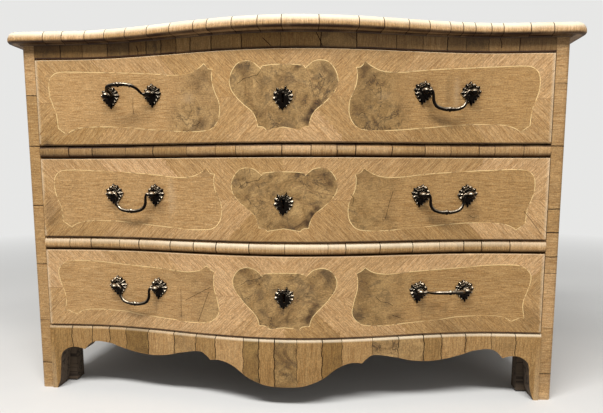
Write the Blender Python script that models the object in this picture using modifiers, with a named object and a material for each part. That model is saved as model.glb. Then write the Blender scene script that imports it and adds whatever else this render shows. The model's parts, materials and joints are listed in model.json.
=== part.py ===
"""Serpentine-fronted chest of three drawers, veneered in walnut on a softwood carcass.

Metres, +Z up. The chest stands on z = 0, its front faces -Y and it is centred on x = 0.
The front bows out in the middle by one smooth wave and runs out straight at both ends.
"""
import math

import bmesh
import bpy
from mathutils import Matrix, Vector

# Overall plan
carcass_width = 1.204
overall_depth = 0.660
top_overhang = 0.033
top_end_overhang = 0.018
front_bulge = 0.083
front_flat_end = 0.112
front_steps = 12

# Heights, from the floor up
apron_height = 0.1553
gap_below_drawer = 0.0015
gap_above_drawer = 0.0030
rail_height = 0.0262
top_rail_height = 0.0327
top_thickness = 0.0255

# Fits
glue_gap = 0.0003
slide_gap = 0.0004
side_gap = 0.0020
drawer_back_gap = 0.0040
hinge_gap = 0.0005
cut_overrun = 0.0100
merge_distance = 0.00005

# Carcass boards
stile_width = 0.0285
stile_depth = 0.045
stile_arris_radius = 0.009
face_step = 0.003
back_thickness = 0.016
back_inset = 0.0005
back_groove_width = 0.0015
back_groove_depth = 0.0030
back_board_count = 3
rail_end_depth = 0.085
rail_nose_radius = 0.0108
apron_thickness = 0.045
apron_proud = 0.002
apron_edge_radius = 0.008
bottom_thickness = 0.018
runner_width = 0.036
block_size = 0.036
block_floor_gap = 0.004
joint_sink = 0.0006
top_nose_radius = 0.0118
top_corner_radius = 0.030
cove_height = 0.0032
cove_reach = 0.0065
cove_hollow = 0.0022
cove_hollow_share = 0.12
side_foot_reach = 0.150

# Drawers
front_thickness = 0.024
front_arris = 0.0010
side_thickness = 0.012
drawer_back_thickness = 0.012
drawer_bottom_thickness = 0.009
side_top_drop = 0.010
tail_count = 4
tail_width_share = 0.55
tail_flare = 0.0030
front_tail_length = 0.015

# Locks
lock_width = 0.104
lock_depth = 0.018
lock_wall = 0.0025
lock_below_key = 0.034
lock_recess_depth = 0.008
keyhole_radius = 0.0042
keyhole_slot_width = 0.0060
keyhole_height = 0.0230
bolt_plate_width = 0.056
bolt_key_clearance = 0.0010
bolt_plate_height = 0.026
bolt_stem_width = 0.030
bolt_thickness = 0.006
bolt_travel = 0.009
bolt_top_drop = 0.0006
bolt_fit = 0.0005
talon_width = 0.012
talon_depth = 0.009
spring_thickness = 0.0010
spring_width = 0.005
spring_bow = 0.006
mortise_clearance = 0.0012

# Handles
handle_from_end = 0.2271
handle_reach_x = 0.0518
handle_proud = 0.0185
bail_drop = 0.0365
bail_half_width = 0.037
bail_pin_radius = 0.0020
bail_shank_radius = 0.0024
bail_bar_radius = 0.0029
bail_knob_radius = 0.0042
bail_knob_length_share = 1.3
bail_collar_radius = 0.0032
post_head_radius = 0.0065
post_neck_radius = 0.0036
post_collar_radius = 0.0062
post_collar_height = 0.0036
post_shaft_radius = 0.0030
post_end_length = 0.0035
post_sides = 8
nut_size = 0.012
nut_thickness = 0.005
nut_seat_gap = 0.0008
rosette_radius = 0.0255
rosette_dome = 0.0052
rosette_gauge = 0.0014
rosette_seat_gap = 0.0007
rosette_drop = 0.0030
rosette_bore_share = 0.8
escutcheon_radius = 0.0260
escutcheon_dome = 0.0036

# One row a drawer, from the top one down: its name, the height of its front, and how
# high its handle pivots and its key stand over the lower edge of that front. The last
# two are how far each bail is swung up from hanging, in degrees.
DRAWERS = (
    ("upper", 0.1886, 0.1064, 0.0899, 117.0, 0.0),
    ("middle", 0.1796, 0.0999, 0.0823, 0.0, 0.0),
    ("lower", 0.1805, 0.0994, 0.0914, 0.0, 100.0),
)

# The lower edge of the apron, from the middle outwards: x as a share of the half length
# and z as a share of the apron's height. It comes to a point between two runs.
APRON_RUN_SHARES = (
    ((0.000, 0.303), (0.070, 0.321), (0.140, 0.416), (0.192, 0.556), (0.227, 0.622),
     (0.262, 0.650), (0.296, 0.637)),
    ((0.296, 0.637), (0.314, 0.702), (0.344, 0.751), (0.419, 0.702), (0.488, 0.637),
     (0.558, 0.612), (0.628, 0.636), (0.698, 0.696), (0.732, 0.738), (0.793, 0.766),
     (0.828, 0.728), (0.854, 0.631)),
    ((0.854, 0.631), (0.889, 0.663), (0.924, 0.647), (0.954, 0.556), (0.960, 0.388),
     (0.963, 0.259), (0.968, 0.130), (0.981, 0.000)),
)

# The inner edge of a foot seen from the side: y as a share of the foot's reach and z as
# a share of the apron's height.
SIDE_FOOT_RUN_SHARES = (
    ((0.36, 0.00), (0.43, 0.14), (0.46, 0.30), (0.49, 0.52), (0.60, 0.64), (0.74, 0.66),
     (0.84, 0.63)),
    ((0.84, 0.63), (0.89, 0.70), (0.95, 0.74), (1.00, 0.75)),
)

# Leaf outlines: direction in degrees from +X and distance as a share of the radius.
ROSETTE_LEAF_SHARES = (
    (0, 0.78), (20, 0.60), (40, 0.90), (62, 0.68), (84, 1.00), (104, 0.68), (126, 0.86),
    (148, 0.62), (172, 0.86), (196, 0.66), (218, 0.64), (244, 0.74), (266, 1.02),
    (288, 0.74), (312, 0.60), (336, 0.70),
)
ESCUTCHEON_LEAF_SHARES = (
    (0, 0.78), (18, 0.62), (36, 0.84), (58, 0.70), (78, 1.00), (96, 0.70), (118, 0.90),
    (138, 0.66), (158, 0.88), (174, 0.66), (190, 0.92), (212, 0.66), (236, 0.72),
    (258, 0.98), (276, 0.90), (296, 0.66), (318, 0.68), (340, 0.62),
)
LEAF_RIDGE_SHARE = 0.62
LEAF_RIDGE_HEIGHT_SHARE = 0.72

# The bail in its own plane: along the pivot axis as a share of its half width, and down
# from the axis as a share of its drop.
BAIL_SHARES = (
    (1.23, -0.01), (1.12, -0.03), (1.04, 0.03), (1.00, 0.18), (0.99, 0.48), (0.91, 0.70),
    (0.76, 0.86), (0.55, 0.95), (0.30, 1.00),
)

# Sizes that follow
carcass_half = carcass_width / 2
opening_half = carcass_half - stile_width
drawer_half = opening_half - side_gap
bulge_half_width = carcass_half - front_flat_end
handle_centre_x = drawer_half - handle_from_end
back_y = overall_depth / 2
crown_y = -back_y + top_overhang
end_y = crown_y + front_bulge
face_y = end_y + face_step
back_inner_y = back_y - back_inset - back_thickness
lowest_level = apron_height + gap_below_drawer
recess_y = front_thickness - lock_recess_depth
lock_near_y = recess_y + glue_gap
bolt_near_y = lock_near_y + lock_wall


def drawer_levels():
    """Give each drawer's lower edge, and each rail's, from the floor."""
    level = lowest_level
    drawer_level = {}
    rail_level = {}
    for name, height, _, _, _, _ in reversed(DRAWERS):
        drawer_level[name] = level
        level += height + gap_above_drawer
        rail_level[name] = level
        level += rail_height + gap_below_drawer
    return drawer_level, rail_level


drawer_level, rail_level = drawer_levels()
top_rail_level = rail_level["upper"]
carcass_top = top_rail_level + top_rail_height
board_top = carcass_top - glue_gap
overall_height = carcass_top + top_thickness


def setback(x):
    """How far the drawer faces lie behind the middle of the front at x."""
    share = min(abs(x) / bulge_half_width, 1.0)
    return front_bulge * (1.0 - math.cos(math.pi * share)) / 2.0


def slope(x):
    """The slope of the front's plan at x."""
    if abs(x) >= bulge_half_width:
        return 0.0
    rate = math.pi / bulge_half_width
    return front_bulge * rate * math.sin(rate * x) / 2.0


def front_run(half_length, proud, end_proud=None):
    """Plan points of the front, left to right, standing proud of the drawer faces.

    All runs turn at the same places, so two boards keep one gap along their length. With
    end_proud, the run stands proud by that much at its ends and by proud in the middle.
    """
    middle_proud = proud
    end_proud = proud if end_proud is None else end_proud
    points = [(-half_length, front_bulge - end_proud)]
    for step in range(-front_steps, front_steps + 1):
        x = bulge_half_width * step / front_steps
        rise = slope(x)
        length = math.hypot(1.0, rise)
        share = setback(x) / front_bulge
        proud = middle_proud + (end_proud - middle_proud) * share
        points.append((x + proud * rise / length, setback(x) - proud / length))
    points.append((half_length, front_bulge - end_proud))
    return points


def on_outer_run(points, origin_y, reach):
    """Whether all the points lie on the outer one of two runs of the front."""
    return all(p.y - origin_y - setback(p.x) < reach for p in points)


def smooth_run(points, steps):
    """Draw a smooth line through the points, with the given steps between two of them."""
    padded = [points[0], *points, points[-1]]
    line = []
    for index in range(len(points) - 1):
        a, b, c, d = (Vector(p) for p in padded[index:index + 4])
        for step in range(steps):
            t = step / steps
            line.append(tuple(0.5 * (2.0 * b + (c - a) * t
                                     + (2.0 * a - 5.0 * b + 4.0 * c - d) * t * t
                                     + (3.0 * b - a - 3.0 * c + d) * t * t * t)))
    line.append(tuple(points[-1]))
    return line


def joined_runs(runs, width, height, steps):
    """Smooth each run of shares, scale it and string the runs together."""
    line = []
    for run in runs:
        scaled = [(width * along, height * up) for along, up in run]
        piece = smooth_run(scaled, steps)
        line += piece[1:] if line else piece
    return line


# Scene helpers

def clear_scene():
    for item in list(bpy.data.objects):
        bpy.data.objects.remove(item, do_unlink=True)


def new_collection(name):
    collection = bpy.data.collections.new(name)
    bpy.context.scene.collection.children.link(collection)
    return collection


def principled(name, colour, roughness, metallic=0.0):
    material = bpy.data.materials.new(name)
    material.use_nodes = True
    shader = material.node_tree.nodes["Principled BSDF"]
    shader.inputs["Base Color"].default_value = (*colour, 1.0)
    shader.inputs["Roughness"].default_value = roughness
    shader.inputs["Metallic"].default_value = metallic
    return material


def add_object(name, data, material, parent=None, location=(0, 0, 0), rotation=(0, 0, 0)):
    item = bpy.data.objects.new(name, data)
    chest.objects.link(item)
    data.materials.append(material)
    item.parent = parent
    item.location = location
    item.rotation_euler = rotation
    return item


def pivot(name, location, parent=None, rotation=(0, 0, 0)):
    """An empty at a joint, which the moving pieces are parented to."""
    empty = bpy.data.objects.new(name, None)
    chest.objects.link(empty)
    empty.parent = parent
    empty.location = location
    empty.rotation_euler = rotation
    return empty


def finished(shape, name):
    """Turn a bmesh into a mesh with its faces pointing out."""
    bmesh.ops.recalc_face_normals(shape, faces=shape.faces)
    mesh = bpy.data.meshes.new(name)
    shape.to_mesh(mesh)
    shape.free()
    return mesh


def as_cutter(mesh, parent=None):
    cutter = bpy.data.objects.new(mesh.name, mesh)
    cutters.objects.link(cutter)
    cutter.parent = parent
    cutter.hide_render = True
    cutter.display_type = "WIRE"
    return cutter


def boolean(item, cutter, operation="DIFFERENCE"):
    modifier = item.modifiers.new(cutter.name, "BOOLEAN")
    modifier.operation = operation
    modifier.solver = "EXACT"
    modifier.object = cutter


def round_edges(item, radius, segments, test, profile=0.5):
    """Bevel the edges whose two ends pass the test."""
    mesh = item.data
    weights = mesh.attributes.new("bevel_weight_edge", "FLOAT", "EDGE")
    for edge in mesh.edges:
        ends = [mesh.vertices[i].co for i in edge.vertices]
        if test(*ends):
            weights.data[edge.index].value = 1.0
    modifier = item.modifiers.new("rounded_edges", "BEVEL")
    modifier.limit_method = "WEIGHT"
    modifier.width = radius
    modifier.segments = segments
    modifier.profile = profile
    modifier.use_clamp_overlap = True


def evaluated_mesh(item):
    """Freeze an object with its modifiers into a mesh, and remove the object."""
    bpy.context.view_layer.update()
    graph = bpy.context.evaluated_depsgraph_get()
    mesh = bpy.data.meshes.new_from_object(item.evaluated_get(graph), depsgraph=graph)
    bpy.data.objects.remove(item, do_unlink=True)
    return mesh


def moved_copy(name, mesh, place):
    """A copy of a mesh with the given move or mirror applied to its points."""
    shape = bmesh.new()
    shape.from_mesh(mesh)
    bmesh.ops.transform(shape, matrix=place, verts=shape.verts)
    return finished(shape, name)


def smooth(mesh, angle_degrees=35.0):
    mesh.shade_smooth()
    mesh.set_sharp_from_angle(angle=math.radians(angle_degrees))


# Shape helpers

def add_box(shape, low, high):
    low, high = Vector(low), Vector(high)
    place = Matrix.Translation((low + high) / 2) @ Matrix.Diagonal((*(high - low), 1.0))
    bmesh.ops.create_cube(shape, size=1.0, matrix=place)


def add_prism(shape, outline, near, far, lay):
    """Extrude an outline from near to far. It lies on the floor, the front or the side."""
    place = {
        "floor": lambda u, v, w: (u, v, w),
        "front": lambda u, v, w: (u, w, v),
        "side": lambda u, v, w: (w, u, v),
    }[lay]
    corners = [shape.verts.new(place(u, v, near)) for u, v in outline]
    face = shape.faces.new(corners)
    grown = bmesh.ops.extrude_face_region(shape, geom=[face])
    moved = [part for part in grown["geom"] if isinstance(part, bmesh.types.BMVert)]
    shift = Vector(place(0.0, 0.0, far)) - Vector(place(0.0, 0.0, near))
    bmesh.ops.translate(shape, vec=shift, verts=moved)


def add_cylinder(shape, radius, start, end, sides=12):
    start, end = Vector(start), Vector(end)
    axis = end - start
    turn = axis.to_track_quat("Z", "Y").to_matrix().to_4x4()
    place = Matrix.Translation((start + end) / 2) @ turn
    bmesh.ops.create_cone(shape, cap_ends=True, segments=sides, radius1=radius,
                          radius2=radius, depth=axis.length, matrix=place)


def box(name, low, high, material, parent=None):
    """A board, with its origin at its middle."""
    low, high = Vector(low), Vector(high)
    middle = (low + high) / 2
    shape = bmesh.new()
    add_box(shape, low - middle, high - middle)
    return add_object(name, finished(shape, name), material, parent, middle)


def prism(name, outline, near, far, lay, material, parent=None):
    shape = bmesh.new()
    add_prism(shape, outline, near, far, lay)
    return add_object(name, finished(shape, name), material, parent)


def turned(name, profile, steps):
    """Turn a profile of radius and height about Z, from its top down."""
    mesh = bpy.data.meshes.new(name)
    edges = [(i, i + 1) for i in range(len(profile) - 1)]
    mesh.from_pydata([(r, 0.0, z) for r, z in profile], edges, [])
    item = bpy.data.objects.new(name, mesh)
    chest.objects.link(item)
    screw = item.modifiers.new("turned", "SCREW")
    screw.steps = steps
    screw.render_steps = steps
    screw.use_merge_vertices = True
    screw.merge_threshold = merge_distance
    return item


# Carcass

def make_stiles():
    for side, sign in (("left", -1), ("right", 1)):
        inner, outer = sign * opening_half, sign * carcass_half
        low = (min(inner, outer), face_y, 0.0)
        high = (max(inner, outer), face_y + stile_depth, board_top)
        stile = box("stile_" + side, low, high, walnut)
        half_width = stile_width / 2
        half_depth = stile_depth / 2

        def is_arris(a, b, sign=sign):
            outer_front = all(sign * p.x > half_width / 2 and p.y < -half_depth / 2
                              for p in (a, b))
            return outer_front and abs(a.z - b.z) > half_width

        round_edges(stile, stile_arris_radius, 3, is_arris)


def side_outline():
    """The carcass side, with a foot at each end and an opening between them."""
    front = face_y + stile_depth + glue_gap
    back = back_y
    foot = joined_runs(SIDE_FOOT_RUN_SHARES, side_foot_reach, apron_height, 3)
    under = [(front + along, up) for along, up in foot]
    under += [(back - along, up) for along, up in reversed(foot)]
    return [(front, 0.0), *under, (back, 0.0), (back, board_top), (front, board_top)]


def make_sides():
    outline = side_outline()
    for side, sign in (("left", -1), ("right", 1)):
        prism("side_" + side, outline, sign * opening_half, sign * carcass_half, "side",
              walnut)


def make_back():
    """The back of wide boards glued edge to edge, with a groove along each joint."""
    half = opening_half - glue_gap
    low, high = apron_height - bottom_thickness, board_top
    far = back_inner_y + back_thickness
    back = box("back_panel", (-half, back_inner_y, low), (half, far, high), pine)
    grooves = bmesh.new()
    for index in range(1, back_board_count):
        level = low + (high - low) * index / back_board_count
        add_box(grooves, (-half - cut_overrun, far - back_groove_depth, level),
                (half + cut_overrun, far + cut_overrun, level + back_groove_width))
    boolean(back, as_cutter(finished(grooves, "back_grooves")))


def straight_backed_board(name, proud, low, high, material):
    """A board between the stiles, with the front's wave before and a straight back."""
    half = opening_half - glue_gap
    outline = [(x, y + crown_y) for x, y in front_run(half, proud)]
    back = end_y + rail_end_depth
    outline += [(half, back), (-half, back)]
    return prism(name, outline, low, high, "floor", material)


def cut_bolt_mortise(rail, name, low_level):
    """Let the bolt of the drawer below rise into the rail."""
    half = bolt_stem_width / 2 + mortise_clearance
    near = crown_y + bolt_near_y
    low = (-half, near - mortise_clearance, low_level - cut_overrun)
    high = (half, near + bolt_thickness + mortise_clearance, low_level + bolt_travel)
    shape = bmesh.new()
    add_box(shape, low, high)
    boolean(rail, as_cutter(finished(shape, name + "_mortise")))


def make_rails():
    back = end_y + rail_end_depth
    top_rail = straight_backed_board("top_rail", -face_step, top_rail_level, board_top,
                                     walnut)
    cut_bolt_mortise(top_rail, "top_rail", top_rail_level)
    for name, below in (("rail_upper", "middle"), ("rail_lower", "lower")):
        low = rail_level[below]
        rail = straight_backed_board(name, 0.0, low, low + rail_height, walnut)

        def on_nose(a, b):
            flat = abs(a.z - b.z) < glue_gap
            return flat and max(a.y, b.y) < back - cut_overrun and abs(a.x - b.x) > 0.0

        round_edges(rail, rail_nose_radius, 3, on_nose)
        cut_bolt_mortise(rail, name, low)


def apron_outline(overrun):
    """The apron from the front, its top carried up past the board by the overrun."""
    half = opening_half - glue_gap
    right = joined_runs(APRON_RUN_SHARES, half, apron_height, 2)
    left = [(-x, z) for x, z in reversed(right[1:])]
    wide = half + overrun
    high = apron_height + overrun
    foot = half * APRON_RUN_SHARES[-1][-1][0]
    return [(-wide, -overrun), (-foot, -overrun), *left, *right, (foot, -overrun),
            (wide, -overrun), (wide, high), (-wide, high)]


def make_apron():
    half = opening_half - glue_gap
    outer = front_run(half, apron_proud)
    inner = front_run(half, apron_proud - apron_thickness)
    outline = [(x, y + crown_y) for x, y in outer + inner[::-1]]
    apron = prism("apron", outline, 0.0, apron_height, "floor", walnut)

    def on_upper_edge(a, b):
        high = min(a.z, b.z) > apron_height - glue_gap
        return high and on_outer_run((a, b), crown_y, apron_thickness / 2)

    round_edges(apron, apron_edge_radius, 3, on_upper_edge)
    shape = bmesh.new()
    add_prism(shape, apron_outline(cut_overrun), crown_y - cut_overrun - apron_proud,
              end_y + apron_thickness + cut_overrun, "front")
    boolean(apron, as_cutter(finished(shape, "apron_shape")), "INTERSECT")


def make_bottom_board():
    """The lowest board, with a block glued under it in the corner of each foot."""
    half = opening_half - glue_gap
    front = front_run(half, apron_proud - apron_thickness - glue_gap)
    outline = [(x, y + crown_y) for x, y in front]
    back = back_inner_y - glue_gap
    outline += [(half, back), (-half, back)]
    under = apron_height - bottom_thickness
    board = prism("bottom_board", outline, under, apron_height, "floor", pine)
    blocks = bmesh.new()
    near = face_y + stile_depth + glue_gap
    for sign in (-1, 1):
        low_x, high_x = sorted((sign * (half - block_size), sign * half))
        for start in (near, back - block_size):
            add_box(blocks, (low_x, start, block_floor_gap),
                    (high_x, start + block_size, under + joint_sink))
    boolean(board, as_cutter(finished(blocks, "foot_blocks")), "UNION")


def make_runners():
    """Strips on the sides: two drawers run on them and all three are held down by them."""
    outer = opening_half - glue_gap
    inner = outer - runner_width
    front = end_y + rail_end_depth + glue_gap
    back = back_inner_y - glue_gap
    levels = (("kicker", top_rail_level, board_top),
              ("runner_upper", rail_level["middle"], rail_level["middle"] + rail_height),
              ("runner_lower", rail_level["lower"], rail_level["lower"] + rail_height))
    for name, low, high in levels:
        box(name + "_left", (-outer, front, low), (-inner, back, high), pine)
        box(name + "_right", (inner, front, low), (outer, back, high), pine)


def wrapped_outline(front_proud, side_proud, corner_radius, corner_steps, end_proud=None):
    """The plan of the chest's front and sides, standing proud of them, open behind."""
    half = carcass_half + side_proud
    flat_half = half - corner_radius
    run = [(x, y + crown_y) for x, y in front_run(flat_half, front_proud, end_proud)]
    corner = []
    centre_y = run[-1][1] + corner_radius
    for step in range(1, corner_steps + 1):
        angle = math.pi / 2 * step / corner_steps
        corner.append((flat_half + corner_radius * math.sin(angle),
                       centre_y - corner_radius * math.cos(angle)))
    left = [(-x, y) for x, y in reversed(corner)]
    line = left + run + corner
    return [(-half, back_y), *line, (half, back_y)]


def make_top():
    outline = wrapped_outline(top_overhang, top_overhang, top_corner_radius, 5,
                              top_end_overhang)
    top = prism("top", outline, carcass_top, overall_height, "floor", walnut)

    def on_nose(a, b):
        level = abs(a.z - b.z) < glue_gap
        at_back = min(a.y, b.y) > back_y - glue_gap
        return level and not at_back

    round_edges(top, top_nose_radius, 3, on_nose)


def make_cove():
    outer = wrapped_outline(cove_reach, cove_reach, 0.0, 0)
    inner = wrapped_outline(glue_gap - face_step, glue_gap, 0.0, 0)
    cove = prism("cove_moulding", outer + inner[::-1], board_top - cove_height, board_top,
                 "floor", walnut)

    def outside(p):
        at_side = abs(p.x) > carcass_half + cove_reach / 2
        return at_side or p.y - crown_y - setback(p.x) < -cove_reach / 2

    def on_lower_edge(a, b):
        low = max(a.z, b.z) < board_top - cove_height / 2
        at_back = min(a.y, b.y) > back_y - glue_gap
        return low and not at_back and outside(a) and outside(b)

    round_edges(cove, cove_hollow, 3, on_lower_edge, cove_hollow_share)


# Drawers: every part of a drawer is placed from its pivot, which stands at the middle
# of its face, level with the lower edge of its front.

nut_level = -handle_proud - front_thickness - nut_seat_gap
drawer_back_y = back_inner_y - drawer_back_gap - crown_y
inner_face_y = front_bulge + front_thickness
board_low = slide_gap - gap_below_drawer
side_low = board_low + drawer_bottom_thickness + glue_gap


def tails(low, high, shoulder, tip, grow=0.0):
    """Dovetail outlines along a board's end: wide at the tip, narrow at the shoulder."""
    pitch = (high - low) / tail_count
    root = pitch * tail_width_share / 2
    shapes = []
    for index in range(tail_count):
        middle = low + pitch * (index + 0.5)
        flare = tail_flare
        direction = 1.0 if tip > shoulder else -1.0
        start = shoulder - direction * grow
        end = tip + direction * grow
        shapes.append([(start, middle - root - grow), (end, middle - root - flare - grow),
                       (end, middle + root + flare + grow), (start, middle + root + grow)])
    return shapes


def drawer_side_outline(low, high):
    front = inner_face_y + glue_gap
    back = drawer_back_y - drawer_back_thickness - glue_gap
    outline = [(front, low), (back, low)]
    for tail in tails(low, high, back, drawer_back_y):
        outline += tail
    outline += [(back, high), (front, high)]
    for tail in reversed(tails(low, high, front, front - front_tail_length)):
        outline += reversed(tail)
    return outline


def make_drawer_box(name, height, parent):
    low, high = side_low, height - side_top_drop
    outline = drawer_side_outline(low, high)
    inner = drawer_half - side_thickness
    for side, sign in (("left", -1), ("right", 1)):
        prism(f"{name}_drawer_side_{side}", outline, sign * inner, sign * drawer_half,
              "side", pine, parent)
    back_near = drawer_back_y - drawer_back_thickness
    back = box(f"{name}_drawer_back", (-drawer_half, back_near, low),
               (drawer_half, drawer_back_y, high), pine, parent)
    sockets = bmesh.new()
    shoulder = back_near - glue_gap
    for sign in (-1, 1):
        for tail in tails(low, high, shoulder, drawer_back_y, glue_gap):
            add_prism(sockets, tail, sign * (inner - glue_gap),
                      sign * (drawer_half + cut_overrun), "side")
    boolean(back, as_cutter(finished(sockets, f"{name}_back_sockets"), parent))
    front = front_run(drawer_half, -front_thickness - glue_gap)
    plan = [*front, (drawer_half, drawer_back_y), (-drawer_half, drawer_back_y)]
    prism(f"{name}_drawer_bottom", plan, board_low, board_low + drawer_bottom_thickness,
          "floor", pine, parent)


def keyhole_outline(centre_z, grow=0.0):
    """A round head over a straight slot, round the key's middle height."""
    radius = keyhole_radius + grow
    half_slot = keyhole_slot_width / 2 + grow
    top = centre_z + keyhole_height / 2 + grow - radius
    bottom = centre_z - keyhole_height / 2 - grow
    start = math.asin(half_slot / radius)
    points = [(-half_slot, bottom), (half_slot, bottom)]
    steps = 6
    for step in range(steps + 1):
        angle = start + (2.0 * math.pi - 2.0 * start) * step / steps
        points.append((radius * math.sin(angle), top - radius * math.cos(angle)))
    return points


def handle_frame(sign):
    """The handle's middle, the two post places and the turn of its pivot axis."""
    near, far = handle_centre_x - handle_reach_x, handle_centre_x + handle_reach_x
    left, right = sorted((sign * near, sign * far))
    start = Vector((left, setback(left), 0.0))
    end = Vector((right, setback(right), 0.0))
    along = (end - start).normalized()
    outward = Vector((along.y, -along.x, 0.0))
    return start, end, along, outward


def make_drawer_front(name, height, handle_z, key_z, parent):
    outer = front_run(drawer_half, 0.0)
    inner = front_run(drawer_half, -front_thickness)
    front = prism(f"{name}_drawer_front", outer + inner[::-1], 0.0, height, "floor",
                  walnut, parent)

    def on_face(a, b):
        level = abs(a.z - b.z) < glue_gap
        at_end = min(abs(a.x), abs(b.x)) > drawer_half - glue_gap
        return (level or at_end) and on_outer_run((a, b), 0.0, front_thickness / 2)

    round_edges(front, front_arris, 1, on_face)
    pockets = bmesh.new()
    low, high = side_low, height - side_top_drop
    side_inner = drawer_half - side_thickness
    shoulder = inner_face_y + glue_gap
    for sign in (-1, 1):
        for tail in tails(low, high, shoulder, shoulder - front_tail_length, glue_gap):
            add_prism(pockets, tail, sign * (side_inner - glue_gap),
                      sign * (drawer_half + cut_overrun), "side")
    half_lock = lock_width / 2 + glue_gap
    add_box(pockets, (-half_lock, recess_y, key_z - lock_below_key - glue_gap),
            (half_lock, front_thickness + cut_overrun, height + cut_overrun))
    boolean(front, as_cutter(finished(pockets, f"{name}_front_pockets"), parent))
    holes = bmesh.new()
    add_prism(holes, keyhole_outline(key_z), -cut_overrun, recess_y + lock_wall, "front")
    hole = (post_shaft_radius + hinge_gap) / math.cos(math.pi / post_sides)
    for sign in (-1, 1):
        start, end, _, outward = handle_frame(sign)
        for place in (start, end):
            foot = place + Vector((0.0, 0.0, handle_z))
            add_cylinder(holes, hole, foot + outward * cut_overrun,
                         foot - outward * (front_thickness + cut_overrun), post_sides)
    boolean(front, as_cutter(finished(holes, f"{name}_front_holes"), parent))


def make_lock(name, height, key_z, parent):
    """An iron case let into the back of the front, with its spring and its bolt."""
    low_z, high_z = key_z - lock_below_key, height - bolt_top_drop
    far = lock_near_y + lock_depth
    half = lock_width / 2
    case = box(f"{name}_lock_case", (-half, lock_near_y, low_z), (half, far, high_z), iron,
               parent)
    hollow = bmesh.new()
    add_box(hollow, (-half + lock_wall, lock_near_y - cut_overrun, low_z + lock_wall),
            (half - lock_wall, far - lock_wall, high_z - lock_wall))
    boolean(case, as_cutter(finished(hollow, f"{name}_lock_hollow"), parent))
    stem = bolt_stem_width / 2
    bolt_far_y = bolt_near_y + bolt_thickness
    slot = bmesh.new()
    add_box(slot, (-stem - bolt_fit, bolt_near_y - bolt_fit, high_z - cut_overrun),
            (stem + bolt_fit, bolt_far_y + bolt_fit, high_z + cut_overrun))
    boolean(case, as_cutter(finished(slot, f"{name}_lock_slot"), parent))
    plate = bolt_plate_width / 2
    foot = key_z + keyhole_height / 2 + bolt_key_clearance
    shoulder = foot + bolt_plate_height
    wall_x = half - lock_wall
    middle = (foot + shoulder) / 2
    reach = (shoulder - foot) / 2
    line = smooth_run([(wall_x, middle + reach),
                       (wall_x - spring_bow, middle + reach / 2),
                       (plate + bolt_fit, middle),
                       (plate + spring_bow, middle - reach / 2)], 3)
    strip = line + [(x + spring_thickness, z) for x, z in reversed(line)]
    spring = bmesh.new()
    add_prism(spring, strip, bolt_near_y, bolt_near_y + spring_width, "front")
    boolean(case, as_cutter(finished(spring, f"{name}_lock_spring"), parent), "UNION")
    talon = talon_width / 2
    outline = [(-plate, foot), (-talon, foot), (-talon, foot + talon_depth),
               (talon, foot + talon_depth), (talon, foot), (plate, foot),
               (plate, shoulder), (stem, shoulder), (stem, high_z), (-stem, high_z),
               (-stem, shoulder), (-plate, shoulder)]
    bolt_slide = pivot(f"{name}_bolt_slide", (0.0, bolt_near_y, 0.0), parent)
    prism(f"{name}_lock_bolt", outline, 0.0, bolt_thickness, "front", iron, bolt_slide)


def domed_leaf(name, shares, radius, dome, hole_loop, lowered=0.0):
    """A cast plate: a leafy edge rising over a ridge to a raised middle with a hole."""
    steps = len(shares)
    drop = Vector((0.0, -lowered, 0.0))
    shape = bmesh.new()
    edge, ridge, rim = [], [], []
    for index, (direction, reach) in enumerate(shares):
        angle = math.radians(direction)
        along = Vector((math.cos(angle), math.sin(angle), 0.0))
        spread = radius * reach
        edge.append(shape.verts.new(along * spread + drop))
        inner = along * radius * LEAF_RIDGE_SHARE * (reach + 1.0) / 2.0
        rise = Vector((0.0, 0.0, dome * LEAF_RIDGE_HEIGHT_SHARE))
        ridge.append(shape.verts.new(inner + drop / 2 + rise))
        x, y = hole_loop[index]
        rim.append(shape.verts.new((x, y, dome)))
    for near, far in ((edge, ridge), (ridge, rim)):
        for index in range(steps):
            after = (index + 1) % steps
            shape.faces.new((near[index], near[after], far[after], far[index]))
    mesh = finished(shape, name)
    item = bpy.data.objects.new(name, mesh)
    chest.objects.link(item)
    shell = item.modifiers.new("gauge", "SOLIDIFY")
    shell.thickness = rosette_gauge
    shell.offset = 1.0
    return item


def post_profile():
    """From the round head down the neck and shaft to the end inside the drawer."""
    steps = 3
    profile = []
    neck_angle = math.acos(-math.sqrt(1.0 - (post_neck_radius / post_head_radius) ** 2))
    for step in range(steps + 1):
        angle = neck_angle * step / steps
        profile.append((post_head_radius * math.sin(angle),
                        post_head_radius * math.cos(angle)))
    collar_foot = rosette_seat_gap + rosette_dome - handle_proud - joint_sink
    collar_top = collar_foot + post_collar_height
    end = nut_level - nut_thickness - post_end_length
    profile += [(post_neck_radius, collar_top), (post_collar_radius, collar_top),
                (post_collar_radius, collar_foot), (post_shaft_radius, collar_foot),
                (post_shaft_radius, end), (0.0, end)]
    return profile


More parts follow.
